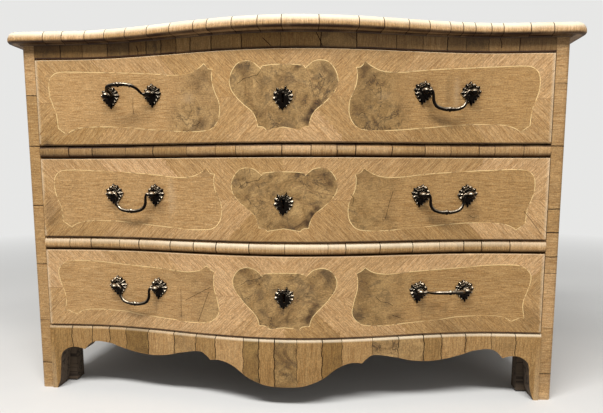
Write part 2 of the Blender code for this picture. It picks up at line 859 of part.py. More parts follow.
def handle_post_mesh(x, chord_turn):
    """A post with its rosette and nut, for the post that stands at x.

    The post is square to the handle, and its rosette lies flat on the drawer front there.
    """
    post = turned("post", post_profile(), post_sides)
    loop = [(post_shaft_radius * rosette_bore_share * math.cos(math.radians(direction)),
             post_shaft_radius * rosette_bore_share * math.sin(math.radians(direction)))
            for direction, _ in ROSETTE_LEAF_SHARES]
    leaf = domed_leaf("rosette", ROSETTE_LEAF_SHARES, rosette_radius, rosette_dome, loop,
                      rosette_drop)
    tilt = math.atan(slope(x)) - chord_turn
    seat = Matrix.Translation((0.0, 0.0, rosette_seat_gap - handle_proud))
    rosette = moved_copy("rosette", evaluated_mesh(leaf), seat @ Matrix.Rotation(tilt, 4, "Y"))
    half = nut_size / 2
    nut = bmesh.new()
    add_box(nut, (-half, -half, nut_level - nut_thickness), (half, half, nut_level))
    drill = bmesh.new()
    pin_hole = (bail_pin_radius + hinge_gap) / math.cos(math.pi / post_sides)
    add_cylinder(drill, pin_hole, (-hinge_gap, 0.0, 0.0),
                 (post_head_radius + cut_overrun, 0.0, 0.0), post_sides)
    helpers = [as_cutter(rosette), as_cutter(finished(nut, "nut")),
               as_cutter(finished(drill, "drill"))]
    for helper, operation in zip(helpers, ("UNION", "UNION", "DIFFERENCE")):
        boolean(post, helper, operation)
    mesh = evaluated_mesh(post)
    for helper in helpers:
        bpy.data.objects.remove(helper, do_unlink=True)
    smooth(mesh)
    return mesh


def make_handle_posts(name, handle_z, meshes, parent):
    """Four handle posts through the front: left and right, inner and outer."""
    for side, sign in (("left", -1), ("right", 1)):
        start, end, along, outward = handle_frame(sign)
        turn = math.atan2(along.y, along.x)
        for end_index, place in enumerate((start, end)):
            reach = "outer" if (end_index == 1) == (sign == 1) else "inner"
            centre = place + Vector((0.0, 0.0, handle_z)) + outward * handle_proud
            add_object(f"{name}_handle_post_{side}_{reach}", meshes[reach, end_index],
                       patinated, parent, centre, (math.pi / 2, 0.0, turn))


def all_post_meshes():
    """Post meshes for the inner and outer place, drilled towards +X (0) and -X (1)."""
    start, end, along, _ = handle_frame(1)
    turn = math.atan2(along.y, along.x)
    mirror = Matrix.Diagonal((-1.0, 1.0, 1.0, 1.0))
    meshes = {}
    for reach, end_index, place in (("inner", 0, start), ("outer", 1, end)):
        tilted = place.x if end_index == 0 else -place.x
        mesh = handle_post_mesh(tilted, turn if end_index == 0 else -turn)
        meshes[reach, 0] = mesh
        meshes[reach, 1] = moved_copy(f"post_{reach}_mirrored", mesh, mirror)
        smooth(meshes[reach, 1])
    return meshes


def bail_line(half_spacing):
    """Points and radii of a bail, from its left pin to its right one."""
    pin_tip = half_spacing - hinge_gap * 2
    pin_start = half_spacing - post_head_radius - hinge_gap
    right = [(bail_half_width * along, -bail_drop * down) for along, down in BAIL_SHARES]
    right = [(pin_tip, 0.0), (pin_start, 0.0)] + right
    radii = [bail_pin_radius, bail_pin_radius, bail_collar_radius]
    count = len(BAIL_SHARES) - 1
    for index in range(count):
        share = index / (count - 1)
        radii.append(bail_shank_radius + (bail_bar_radius - bail_shank_radius) * share)
    middle = [(0.0, -bail_drop)]
    swell = bail_knob_radius * bail_knob_length_share
    knob = [(swell, -bail_drop), (swell / 2, -bail_drop)]
    knob_radii = [bail_shank_radius, bail_knob_radius]
    right += knob
    radii += knob_radii
    left = [(-x, z) for x, z in right]
    points = left + middle + right[::-1]
    return points, radii + [bail_knob_radius] + radii[::-1]


def make_bails(name, handle_z, angles, parent):
    for side, sign, angle in (("left", -1, angles[0]), ("right", 1, angles[1])):
        start, end, along, outward = handle_frame(sign)
        half_spacing = (end - start).length / 2
        points, radii = bail_line(half_spacing)
        curve = bpy.data.curves.new(f"{name}_bail_{side}", "CURVE")
        curve.dimensions = "3D"
        curve.bevel_depth = 1.0
        curve.bevel_resolution = 1
        curve.use_fill_caps = True
        spline = curve.splines.new("POLY")
        spline.points.add(len(points) - 1)
        for target, (x, z), radius in zip(spline.points, points, radii):
            target.co = (x, 0.0, z, 1.0)
            target.radius = radius
        centre = (start + end) / 2 + Vector((0.0, 0.0, handle_z)) + outward * handle_proud
        turn = math.atan2(along.y, along.x)
        add_object(f"{name}_bail_{side}", curve, patinated, parent, centre,
                   (-math.radians(angle), 0.0, turn))


def make_escutcheon(name, key_z, parent):
    hole = keyhole_outline(0.0, hinge_gap)
    loop = nearest_loop(hole, [math.radians(a) for a, _ in ESCUTCHEON_LEAF_SHARES])
    leaf = domed_leaf("escutcheon", ESCUTCHEON_LEAF_SHARES, escutcheon_radius,
                      escutcheon_dome, loop)
    mesh = evaluated_mesh(leaf)
    place = (Matrix.Translation((0.0, -rosette_seat_gap, key_z))
             @ Matrix.Rotation(math.pi / 2, 4, "X"))
    mesh = moved_copy(f"{name}_escutcheon", mesh, place)
    smooth(mesh)
    add_object(f"{name}_escutcheon", mesh, patinated, parent)


def nearest_loop(outline, angles):
    """Where rays from the middle, at the given angles, meet a closed outline."""
    loop = []
    for angle in angles:
        ray = Vector((math.cos(angle), math.sin(angle)))
        best = None
        for index, start in enumerate(outline):
            a = Vector(start)
            b = Vector(outline[(index + 1) % len(outline)])
            edge = b - a
            cross = ray.x * edge.y - ray.y * edge.x
            if cross == 0.0:
                continue
            reach = (a.x * edge.y - a.y * edge.x) / cross
            share = (a.x * ray.y - a.y * ray.x) / cross
            if reach > 0.0 and 0.0 <= share <= 1.0 and (best is None or reach < best):
                best = reach
        loop.append(tuple(ray * best))
    return loop


clear_scene()
chest = new_collection("serpentine_chest_of_drawers")
cutters = new_collection("cutters")
walnut = principled("walnut_veneer", (0.42, 0.26, 0.12), 0.45)
pine = principled("softwood", (0.46, 0.31, 0.17), 0.7)
iron = principled("forged_iron", (0.06, 0.055, 0.05), 0.5, 1.0)
patinated = principled("patinated_brass", (0.07, 0.055, 0.04), 0.4, 1.0)

make_stiles()
make_sides()
make_back()
make_rails()
make_apron()
make_bottom_board()
make_runners()
make_top()
make_cove()
post_meshes = all_post_meshes()
for drawer_name, front_height, handle_height, key_height, *bail_angles in DRAWERS:
    slide = pivot(f"{drawer_name}_drawer_slide",
                  (0.0, crown_y, drawer_level[drawer_name]))
    make_drawer_box(drawer_name, front_height, slide)
    make_drawer_front(drawer_name, front_height, handle_height, key_height, slide)
    make_lock(drawer_name, front_height, key_height, slide)
    make_escutcheon(drawer_name, key_height, slide)
    make_handle_posts(drawer_name, handle_height, post_meshes, slide)
    make_bails(drawer_name, handle_height, bail_angles, slide)
bpy.context.view_layer.update()
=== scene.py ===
"""The looks of a serpentine-fronted chest of three drawers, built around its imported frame."""
import json
import math
import random
from collections import namedtuple

import bmesh
import bpy
from mathutils import Matrix, Vector
from mathutils.geometry import delaunay_2d_cdt

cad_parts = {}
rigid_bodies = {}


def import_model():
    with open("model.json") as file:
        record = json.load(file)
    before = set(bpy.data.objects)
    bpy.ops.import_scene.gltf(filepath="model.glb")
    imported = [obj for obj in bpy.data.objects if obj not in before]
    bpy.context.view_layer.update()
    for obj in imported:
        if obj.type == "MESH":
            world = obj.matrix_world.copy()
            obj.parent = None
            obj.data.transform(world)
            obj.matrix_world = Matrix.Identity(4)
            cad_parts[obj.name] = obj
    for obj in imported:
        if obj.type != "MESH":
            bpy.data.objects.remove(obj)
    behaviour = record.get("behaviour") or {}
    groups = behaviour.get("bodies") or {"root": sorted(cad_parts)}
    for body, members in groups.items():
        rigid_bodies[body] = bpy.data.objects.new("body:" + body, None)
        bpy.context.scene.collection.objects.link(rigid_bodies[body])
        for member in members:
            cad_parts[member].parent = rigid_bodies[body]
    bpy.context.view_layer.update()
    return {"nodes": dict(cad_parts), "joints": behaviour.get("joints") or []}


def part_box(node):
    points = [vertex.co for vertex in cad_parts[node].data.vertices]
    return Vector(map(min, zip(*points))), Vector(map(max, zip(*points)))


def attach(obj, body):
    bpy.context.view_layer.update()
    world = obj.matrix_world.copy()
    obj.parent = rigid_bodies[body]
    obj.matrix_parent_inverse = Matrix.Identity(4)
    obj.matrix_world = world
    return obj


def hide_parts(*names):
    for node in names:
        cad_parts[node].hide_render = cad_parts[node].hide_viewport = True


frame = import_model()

# Sizes read from the frame
side_low, side_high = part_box("side_right")
stile_low, stile_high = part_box("stile_right")
top_low, top_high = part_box("top")
apron_low, apron_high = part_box("apron")
cove_low, cove_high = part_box("cove_moulding")
carcass_half = side_high.x
opening_half = side_low.x
drawer_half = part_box("middle_drawer_bottom")[1].x
crown_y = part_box("middle_drawer_front")[0].y
back_y = side_high.y
apron_height = apron_high.z
apron_half = apron_high.x

# Sizes of the carcass that boxes don't give
face_step = 0.003
flat_end = 0.112
front_bulge = stile_low.y - face_step - crown_y
bulge_half_width = carcass_half - flat_end
stile_arris = 0.009
rail_nose = 0.0108
rail_flat = 0.0010
rail_swell = 0.0004
apron_thickness = 0.045
apron_edge = 0.008
nose_reach = 0.0165
nose_drop = 0.0185
top_corner = 0.030
side_foot_reach = 0.150
apron_proud = crown_y - apron_low.y
top_overhang = crown_y - top_low.y
top_end_overhang = 0.018
cove_reach = crown_y - cove_low.y

# Veneer
veneer = 0.0009
veneer_proud = 0.0006
joint_width = 0.0017
fine_joint = 0.0006
crack_width = 0.0009
string_width = 0.0013
edge_wear = 0.0007
lattice = 0.009
joint_pitch = 0.005
side_pitch = 0.05
usual_stray = 0.0004
top_rail_stray = 0.0006
apron_stray = 0.0016
leaf_angle = 40.0
UNIT = 0.001

DRAWERS = ("upper", "middle", "lower")


def setback(x):
    """How far the drawer faces lie behind the middle of the front at x."""
    share = min(abs(x) / bulge_half_width, 1.0)
    return front_bulge * (1.0 - math.cos(math.pi * share)) / 2.0


def slope(x):
    """The slope of the front's plan at x."""
    if abs(x) >= bulge_half_width:
        return 0.0
    rate = math.pi / bulge_half_width
    return front_bulge * rate * math.sin(rate * x) / 2.0


def front_point(x, z, proud):
    """A point on the curve of the drawer faces, or proud of it."""
    rise = slope(x)
    length = math.hypot(1.0, rise)
    return Vector((x + proud * rise / length, crown_y + setback(x) - proud / length, z))


def smooth_run(points, steps):
    """Draw a smooth line through the points, with the given steps between two of them."""
    padded = [points[0], *points, points[-1]]
    line = []
    for index in range(len(points) - 1):
        a, b, c, d = (Vector(p) for p in padded[index:index + 4])
        for step in range(steps):
            t = step / steps
            line.append(tuple(0.5 * (2.0 * b + (c - a) * t
                                     + (2.0 * a - 5.0 * b + 4.0 * c - d) * t * t
                                     + (3.0 * b - a - 3.0 * c + d) * t * t * t)))
    line.append(tuple(points[-1]))
    return line


def joined_runs(runs, width, height, steps):
    """Smooth each run, scale it and string the runs together."""
    line = []
    for run in runs:
        piece = smooth_run([(width * along, height * up) for along, up in run], steps)
        line += piece[1:] if line else piece
    return line


def ease(value, start, end):
    """Go smoothly from 0 at start to 1 at end."""
    share = min(max((value - start) / (end - start), 0.0), 1.0)
    return share * share * (3.0 - 2.0 * share)


# Materials

def feed(tree, target, value):
    """Link a socket to an input, or set the input to a plain value."""
    if isinstance(value, bpy.types.NodeSocket):
        tree.links.new(value, target)
    else:
        target.default_value = value


def node(tree, kind, inputs=None, **settings):
    """Add a shader node with its settings and inputs."""
    made = tree.nodes.new(kind)
    for name, value in settings.items():
        setattr(made, name, value)
    for name, value in (inputs or {}).items():
        feed(tree, made.inputs[name], value)
    return made


def linear(red, green, blue):
    """A colour given in sRGB from 0 to 255, as the shader needs it."""
    def channel(value):
        value /= 255.0
        return value / 12.92 if value <= 0.04045 else ((value + 0.055) / 1.055) ** 2.4
    return (channel(red), channel(green), channel(blue), 1.0)


def ramp(tree, value, stops):
    made = node(tree, "ShaderNodeValToRGB", {"Fac": value})
    elements = made.color_ramp.elements
    while len(elements) < len(stops):
        elements.new(0.5)
    for element, (place, colour) in zip(elements, stops):
        element.position = place
        element.color = colour if len(colour) == 4 else (*colour, 1.0)
    return made.outputs["Color"]


def grey_ramp(tree, value, low, high, start=0.0, end=1.0):
    return ramp(tree, value, ((low, (start,) * 3), (high, (end,) * 3)))


def mixed(tree, share, a, b, blend="MIX"):
    made = node(tree, "ShaderNodeMix", data_type="RGBA", blend_type=blend)
    for name, value in (("Factor", share), ("A", a), ("B", b)):
        matching = [s for s in made.inputs if s.name == name and s.enabled]
        feed(tree, matching[-1], value)
    return [s for s in made.outputs if s.enabled][0]


def shaded(tree, share, base, value, low, high, start, end):
    """Multiply a colour by a grey that runs from start to end as a value goes from low to high."""
    return mixed(tree, share, base, grey_ramp(tree, value, low, high, start, end), "MULTIPLY")


def maths(tree, operation, a, b=0.0, c=None):
    made = node(tree, "ShaderNodeMath", operation=operation)
    for index, value in enumerate((a, b) if c is None else (a, b, c)):
        feed(tree, made.inputs[index], value)
    return made.outputs[0]


def stretched(tree, source, scale):
    mapping = node(tree, "ShaderNodeMapping", {"Vector": source, "Scale": scale})
    return mapping.outputs["Vector"]


def noise(tree, vector, scale, detail=4.0, roughness=0.5, distortion=0.0):
    made = node(tree, "ShaderNodeTexNoise", {
        "Vector": vector, "Scale": scale, "Detail": detail, "Roughness": roughness,
        "Distortion": distortion})
    return made.outputs["Fac"]


def new_material(name):
    material = bpy.data.materials.new(name)
    material.use_nodes = True
    tree = material.node_tree
    return material, tree, tree.nodes["Principled BSDF"]


def bump(tree, height, distance, strength=1.0):
    made = node(tree, "ShaderNodeBump", {"Height": height, "Distance": distance,
                                         "Strength": strength})
    return made.outputs["Normal"]


def walnut_material():
    """Old, faded walnut veneer. The leaf's own grain runs along the first axis of its map."""
    material, tree, shader = new_material("walnut_veneer")
    link = tree.links.new
    grain = node(tree, "ShaderNodeUVMap", uv_map="grain").outputs["UV"]
    figure = node(tree, "ShaderNodeAttribute", attribute_name="figure").outputs
    split = node(tree, "ShaderNodeSeparateColor", {"Color": figure["Color"]})
    seed, tone, burr = split.outputs
    part = node(tree, "ShaderNodeSeparateXYZ", {"Vector": grain})
    layer = maths(tree, "MULTIPLY", seed, 7.0)
    place = node(tree, "ShaderNodeCombineXYZ", {
        "X": part.outputs["X"], "Y": part.outputs["Y"], "Z": layer}).outputs["Vector"]

    def drawn_out(source, lengthways, across, detail, roughness=0.5):
        """Noise in streaks along the grain."""
        return noise(tree, stretched(tree, source, (lengthways, across, 1.0)), 1.0, detail,
                     roughness)

    wander = drawn_out(place, 4.0, 12.0, 3.0)
    shifted = maths(tree, "MULTIPLY_ADD", wander, 0.024, part.outputs["Y"])
    wavy = node(tree, "ShaderNodeCombineXYZ", {
        "X": part.outputs["X"], "Y": shifted, "Z": layer}).outputs["Vector"]

    streaks = drawn_out(wavy, 28.0, 520.0, 5.0, 0.70)
    broad = drawn_out(wavy, 3.0, 22.0, 2.0)
    fine = drawn_out(wavy, 70.0, 560.0, 3.0, 0.65)
    pores = drawn_out(wavy, 120.0, 900.0, 2.0, 0.6)
    cross = drawn_out(place, 90.0, 12.0, 2.0)
    grit = noise(tree, place, 330.0, 3.0, 0.7)
    clouds = noise(tree, place, 8.0, 4.0, 0.6)

    gold = ramp(tree, streaks, (
        (0.36, linear(168, 126, 79)), (0.46, linear(191, 150, 101)),
        (0.54, linear(202, 162, 113)), (0.65, linear(214, 176, 128))))
    gold = shaded(tree, 0.5, gold, broad, 0.32, 0.66, 0.90, 1.05)

    swirl = noise(tree, place, 15.0, 9.0, 0.68, 1.9)
    rings = maths(tree, "PINGPONG", maths(tree, "MULTIPLY", swirl, 26.0), 1.0)
    brown = ramp(tree, swirl, (
        (0.30, linear(112, 84, 54)), (0.42, linear(164, 130, 86)),
        (0.55, linear(190, 155, 108)), (0.72, linear(210, 174, 124))))
    brown = shaded(tree, 0.70, brown, rings, 0.02, 0.26, 0.56, 1.03)
    smoke = grey_ramp(tree, noise(tree, place, 26.0, 6.0, 0.66, 1.2), 0.53, 0.62)
    brown = mixed(tree, maths(tree, "MULTIPLY", smoke, 0.5), brown, linear(98, 80, 62))
    knots = node(tree, "ShaderNodeTexVoronoi", {
        "Vector": place, "Scale": 24.0, "Randomness": 1.0}).outputs["Distance"]
    brown = shaded(tree, 0.85, brown, knots, 0.03, 0.15, 0.45, 1.0)
    torn = noise(tree, place, 13.0, 8.0, 0.64, 0.6)
    torn = maths(tree, "ABSOLUTE", maths(tree, "SUBTRACT", torn, 0.5))
    rare = grey_ramp(tree, noise(tree, place, 12.0, 2.0), 0.49, 0.56)
    crack = maths(tree, "MULTIPLY", grey_ramp(tree, torn, 0.003, 0.013, 1.0, 0.0), rare)
    brown = mixed(tree, maths(tree, "MULTIPLY", crack, 0.75), brown, linear(66, 48, 32))

    edge = maths(tree, "MULTIPLY_ADD", maths(tree, "SUBTRACT", clouds, 0.5), 1.8, burr)
    base = mixed(tree, grey_ramp(tree, edge, 0.30, 0.80), gold, brown)
    for share, value, low, high, start, end in (
            (0.60, fine, 0.38, 0.60, 0.80, 1.08), (0.70, pores, 0.38, 0.54, 0.76, 1.04),
            (0.85, grit, 0.38, 0.62, 0.72, 1.19), (0.40, cross, 0.30, 0.70, 0.86, 1.08),
            (0.55, clouds, 0.30, 0.70, 0.86, 1.08)):
        base = shaded(tree, share, base, value, low, high, start, end)
    shade = node(tree, "ShaderNodeCombineColor", {
        "Red": tone, "Green": maths(tree, "POWER", tone, 1.15),
        "Blue": maths(tree, "POWER", tone, 1.8)})
    base = mixed(tree, 1.0, base, shade.outputs["Color"], "MULTIPLY")

    cells = node(tree, "ShaderNodeTexVoronoi", {"Vector": place, "Scale": 34.0})
    pick = node(tree, "ShaderNodeSeparateColor", {"Color": cells.outputs["Color"]})
    chosen = maths(tree, "GREATER_THAN", pick.outputs["Red"], 0.86)
    near = maths(tree, "LESS_THAN", cells.outputs["Distance"], 0.034)
    hole = maths(tree, "MULTIPLY", chosen, near)
    base = mixed(tree, hole, base, linear(40, 28, 18))
    # Above zero the figure's alpha lightens the wood towards cream, for fading and for painted
    # highlights; below zero it darkens it towards dark brown, for dirt and for painted shade.
    patchy = maths(tree, "MULTIPLY_ADD", maths(tree, "SUBTRACT", clouds, 0.5), 1.2, 1.0)
    bleach_and_highlight = maths(tree, "MULTIPLY", maths(tree, "MAXIMUM", figure["Alpha"], 0.0), patchy)
    base = mixed(tree, bleach_and_highlight, base, linear(247, 232, 203))
    darkening = maths(tree, "MULTIPLY", maths(tree, "MAXIMUM", maths(
        tree, "MULTIPLY", figure["Alpha"], -1.0), 0.0), patchy)
    base = mixed(tree, darkening, base, linear(44, 23, 7))
    link(base, shader.inputs["Base Color"])

    rough = grey_ramp(tree, fine, 0.3, 0.7, 0.56, 0.42)
    link(rough, shader.inputs["Roughness"])
    height = maths(tree, "SUBTRACT", maths(tree, "MULTIPLY_ADD", streaks, 0.30, pores), hole)
    height = maths(tree, "SUBTRACT", height, maths(tree, "MULTIPLY", crack, burr))
    link(bump(tree, height, 0.0003, 0.6), shader.inputs["Normal"])
    shader.inputs["Specular IOR Level"].default_value = 0.24
    return material


def plain_wood(name, dark, light, axis, rough=0.62, breaks=0.0, gloss=0.4):
    """Softwood or thin lines: fibres run along one axis of the object."""
    material, tree, shader = new_material(name)
    place = node(tree, "ShaderNodeTexCoord").outputs["Object"]

    def drawn_out(across, lengthways, detail, roughness, distortion=0.0):
        """Noise in streaks along the axis."""
        scales = [across] * 3
        scales["XYZ".index(axis)] = lengthways
        return noise(tree, stretched(tree, place, tuple(scales)), 1.0, detail, roughness,
                     distortion)

    fibre = drawn_out(90.0, 2.2, 6.0, 0.6)
    rings = drawn_out(24.0, 0.9, 3.0, 0.5, 0.4)
    bands = maths(tree, "PINGPONG", maths(tree, "MULTIPLY", rings, 14.0), 1.0)
    base = ramp(tree, bands, ((0.0, dark), (0.35, light), (1.0, light)))
    base = shaded(tree, 0.6, base, fibre, 0.3, 0.7, 0.68, 1.12)
    darkening = noise(tree, place, 7.0, 4.0, 0.6)
    base = shaded(tree, 0.7, base, darkening, 0.3, 0.7, 0.72, 1.08)
    broken = grey_ramp(tree, noise(tree, place, 46.0, 3.0, 0.6), 0.56, 0.62)
    base = mixed(tree, maths(tree, "MULTIPLY", broken, breaks), base, linear(120, 88, 54))
    tree.links.new(base, shader.inputs["Base Color"])
    tree.links.new(grey_ramp(tree, fibre, 0.3, 0.7, rough + 0.1, rough - 0.08),
                   shader.inputs["Roughness"])
    tree.links.new(bump(tree, fibre, 0.0003, 0.5), shader.inputs["Normal"])
    shader.inputs["Specular IOR Level"].default_value = gloss
    return material


def metal(name, dark, light, roughness, metallic):
    """Old cast or forged metal: dark, and lighter where it faces up, partly real rubbing and partly
    a painted highlight.
    """
    material, tree, shader = new_material(name)
    coordinates = node(tree, "ShaderNodeTexCoord").outputs
    place = coordinates["Object"]
    mottled = noise(tree, place, 150.0, 5.0, 0.6)
    upward = node(tree, "ShaderNodeSeparateXYZ", {"Vector": coordinates["Normal"]}).outputs["Z"]
    # Facing up makes the colour lighter: a painted highlight as well as rubbing.
    rubbed_and_highlight = maths(tree, "MULTIPLY", grey_ramp(tree, upward, 0.10, 0.50),
                   grey_ramp(tree, mottled, 0.36, 0.62, 0.35, 1.0))
    base = ramp(tree, rubbed_and_highlight, ((0.0, dark), (1.0, light)))
    tree.links.new(base, shader.inputs["Base Color"])
    grain = noise(tree, place, 420.0, 3.0, 0.55)
    tree.links.new(grey_ramp(tree, mottled, 0.3, 0.7, roughness + 0.12, roughness - 0.04),
                   shader.inputs["Roughness"])
    tree.links.new(bump(tree, grain, 0.0002, 0.35), shader.inputs["Normal"])
    shader.inputs["Metallic"].default_value = metallic
    return material


walnut = walnut_material()
stringing = plain_wood("maple_stringing", linear(186, 142, 84), linear(246, 212, 150), "X", 0.45,
                        0.8)
seam = plain_wood("dark_joint", linear(22, 13, 7), linear(44, 28, 16), "X", 0.8, gloss=0.1)
fine_seam = plain_wood("fine_joint", linear(112, 80, 50), linear(140, 104, 68), "X", 0.6, gloss=0.2)
pine_colours = (linear(142, 106, 66), linear(174, 138, 94))
pine_x = plain_wood("softwood_along", *pine_colours, "X")
pine_y = plain_wood("softwood_deep", *pine_colours, "Y")
# A dark, dirty softwood, also laid where there is only shade, as painted shade: under the top, on
# the apron's back and cut edges and on the bottom board.
grimy_and_shaded = plain_wood("grimy_and_shaded_softwood", linear(48, 40, 34), linear(92, 78, 64), "X", 0.75, gloss=0.2)
iron = metal("forged_iron", linear(44, 40, 36), linear(92, 84, 76), 0.5, 0.9)
patinated = metal("patinated_brass", linear(24, 20, 17), linear(196, 180, 156), 0.34, 1.0)

SHEET_MATERIALS = {"wood": 0, "string": 1, "joint": 2, "fine": 3, "core": 4}
LOFT_MATERIALS = {"wood": 0, "joint": 2, "hidden": 3, "back": 4}

# A leaf of veneer: the angle of its grain, its seed and tone, how much of it is burr,
# whether it is laid mirrored across the middle or the mid-height, and how it has aged and is
# lit, a value above zero where it has faded pale and where a highlight is painted, and below
# zero where it is dirty and where shade is painted.
Leaf = namedtuple("Leaf", "angle seed tone burr flip_x flip_z wear")


def leaf(angle, seed, tone=1.0, burr=0.0, flip_x=1.0, flip_z=1.0, wear=0.0):
    return Leaf(math.radians(angle), seed, tone, burr, flip_x, flip_z, wear)


def grain_place(piece, u, v):
    """A place on a leaf along and across its grain."""
    u *= piece.flip_x
    v *= piece.flip_z
    cosine, sine = math.cos(piece.angle), math.sin(piece.angle)
    return (u * cosine + v * sine, v * cosine - u * sine)


def share_at(share, u, v):
    """A share that is given either once for a leaf or as a function of the place."""
    return share(u, v) if callable(share) else share


def bounds_2d(polygon):
    us = [p[0] for p in polygon]
    vs = [p[1] for p in polygon]
    return min(us), min(vs), max(us), max(vs)


def inside(polygon, u, v):
    """Whether a point lies in a closed outline."""
    hit = False
    last_u, last_v = polygon[-1]
    for next_u, next_v in polygon:
        if (next_v > v) != (last_v > v):
            if u < (last_u - next_u) * (v - next_v) / (last_v - next_v) + next_u:
                hit = not hit
        last_u, last_v = next_u, next_v
    return hit


class Region:
    """A closed outline with a quick test for points in it."""

    def __init__(self, polygon):
        self.polygon = polygon
        self.low_u, self.low_v, self.high_u, self.high_v = bounds_2d(polygon)

    def holds(self, u, v):
        if not (self.low_u < u < self.high_u and self.low_v < v < self.high_v):
            return False
        return inside(self.polygon, u, v)


def offset_outline(points, reach):
    """Move a closed outline outwards by reach, keeping its corners."""
    area = sum(a[0] * b[1] - b[0] * a[1] for a, b in zip(points, points[1:] + points[:1]))
    turn = 1.0 if area > 0.0 else -1.0
    moved = []
    for index, point in enumerate(points):
        before = Vector(points[index - 1])
        here = Vector(point)
        after = Vector(points[(index + 1) % len(points)])
        a = (here - before).normalized()
        b = (after - here).normalized()
        normal = Vector((a.y + b.y, -a.x - b.x)) * turn
        if normal.length < 0.2:
            normal = Vector((a.y, -a.x)) * turn
        normal.normalize()
        lean = max(normal.dot(Vector((a.y, -a.x)) * turn), 0.4)
        moved.append(tuple(here + normal * reach / lean))
    return moved


def rectangle(left, bottom, right, top):
    """The corners of a rectangle."""
    return [(left, bottom), (right, bottom), (right, top), (left, top)]


def stringed(outline):
    """The regions in the outer and inner edge of stringing along an outline, and its edges."""
    outer = offset_outline(outline, string_width / 2)
    inner = offset_outline(outline, -string_width / 2)
    return Region(outer), Region(inner), [outer + outer[:1], inner + inner[:1]]


def path_strips(paths, base=0.0):
    """The straight pieces of crooked lines in millimetres, with heights above the base."""
    strips = []
    for path in paths:
        path = [(x * UNIT, base + z * UNIT) for x, z in path]
        strips += list(zip(path, path[1:]))
    return strips


def strip_lines(start, end, width):
    """The two edges of a straight joint."""
    a, b = Vector(start), Vector(end)
    along = (b - a).normalized()
    across = Vector((-along.y, along.x)) * width / 2
    return [[tuple(a + across), tuple(b + across)], [tuple(a - across), tuple(b - across)]]


def near_strip(start, end, width, u, v):
    """Whether a place lies in a straight strip of the given width."""
    along_u, along_v = end[0] - start[0], end[1] - start[1]
    from_u, from_v = u - start[0], v - start[1]
    length = along_u * along_u + along_v * along_v
    if not 0.0 <= from_u * along_u + from_v * along_v <= length:
        return False
    off = from_u * along_v - from_v * along_u
    return off * off < width * width / 4 * length


def edges_of(strips, width):
    """The edges of many strips."""
    return [line for start, end in strips for line in strip_lines(start, end, width)]


def on_strip(strips, width, u, v):
    """Whether a place lies in any of the strips."""
    return any(near_strip(start, end, width, u, v) for start, end in strips)


def lattice_lines(polygon, steps_u, steps_v):
    """Lines across the outline's box at the given places."""
    low_u, low_v, high_u, high_v = bounds_2d(polygon)
    margin = lattice / 10
    lines = [[(u, low_v - margin), (u, high_v + margin)] for u in steps_u]
    lines += [[(low_u - margin, v), (high_u + margin, v)] for v in steps_v]
    return lines


def even_steps(low, high, pitch):
    """Evenly spaced places between low and high, about a pitch apart."""
    count = max(1, round((high - low) / pitch))
    return [low + (high - low) * i / count for i in range(1, count)]


def triangulate(outline, holes, lines):
    """Cut a flat outline into triangles that have all the lines as edges."""
    points, edges = [], []
    paths = [(outline, True), *((hole, True) for hole in holes)]
    for path, closed in paths + [(line, False) for line in lines]:
        start = len(points)
        points += [Vector(p) for p in path]
        last = len(path) if closed else len(path) - 1
        edges += [(start + i, start + (i + 1) % len(path)) for i in range(last)]
    found, _, faces, _, _, _ = delaunay_2d_cdt(points, edges, [], 0, 1e-6)
    border = Region(outline)
    gaps = [Region(hole) for hole in holes]
    kept = []
    for face in faces:
        middle = sum((found[i] for i in face), Vector((0.0, 0.0))) / len(face)
        if border.holds(*middle) and not any(gap.holds(*middle) for gap in gaps):
            kept.append((tuple(face), middle))
    return found, kept


def finish_piece(name, mesh, body, replaces):
    """Put a mesh in the scene on the body it rides on, and hide the frame's part that it stands in
    for.
    """
    item = bpy.data.objects.new(name, mesh)
    bpy.context.scene.collection.objects.link(item)
    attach(item, body)
    if replaces:
        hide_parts(replaces)


def smooth_faces(mesh, angle):
    """Turn the faces outwards and shade them smooth, but sharp at edges above an angle."""
    shape = bmesh.new()
    shape.from_mesh(mesh)
    bmesh.ops.recalc_face_normals(shape, faces=shape.faces)
    shape.to_mesh(mesh)
    shape.free()
    mesh.shade_smooth()
    mesh.set_sharp_from_angle(angle=math.radians(angle))


def leafed_piece(name, points, polygons, kinds, leaves, places, materials, body, replaces):
    """Make a piece whose faces carry their leaf: the map of its grain, and its figure.

    places gives each point's place on its leaf and how deep it lies under the face.
    """
    mesh = bpy.data.meshes.new(name)
    mesh.from_pydata(points, [], polygons)
    for material in materials:
        mesh.materials.append(material)
    mesh.polygons.foreach_set("material_index", kinds)
    mesh.uv_layers.new(name="grain")
    mesh.color_attributes.new("figure", "FLOAT_COLOR", "CORNER")
    spots, values = [], []
    for corners, piece in zip(polygons, leaves):
        for corner in corners:
            u, v, depth = places[corner]
            along, across = grain_place(piece, u, v)
            spots += [along, across + depth]
            values += [piece.seed, piece.tone, share_at(piece.burr, u, v),
                       share_at(piece.wear, u, v)]
    mesh.uv_layers["grain"].data.foreach_set("uv", spots)
    mesh.color_attributes["figure"].data.foreach_set("color", values)
    smooth_faces(mesh, leaf_angle)
    finish_piece(name, mesh, body, replaces)


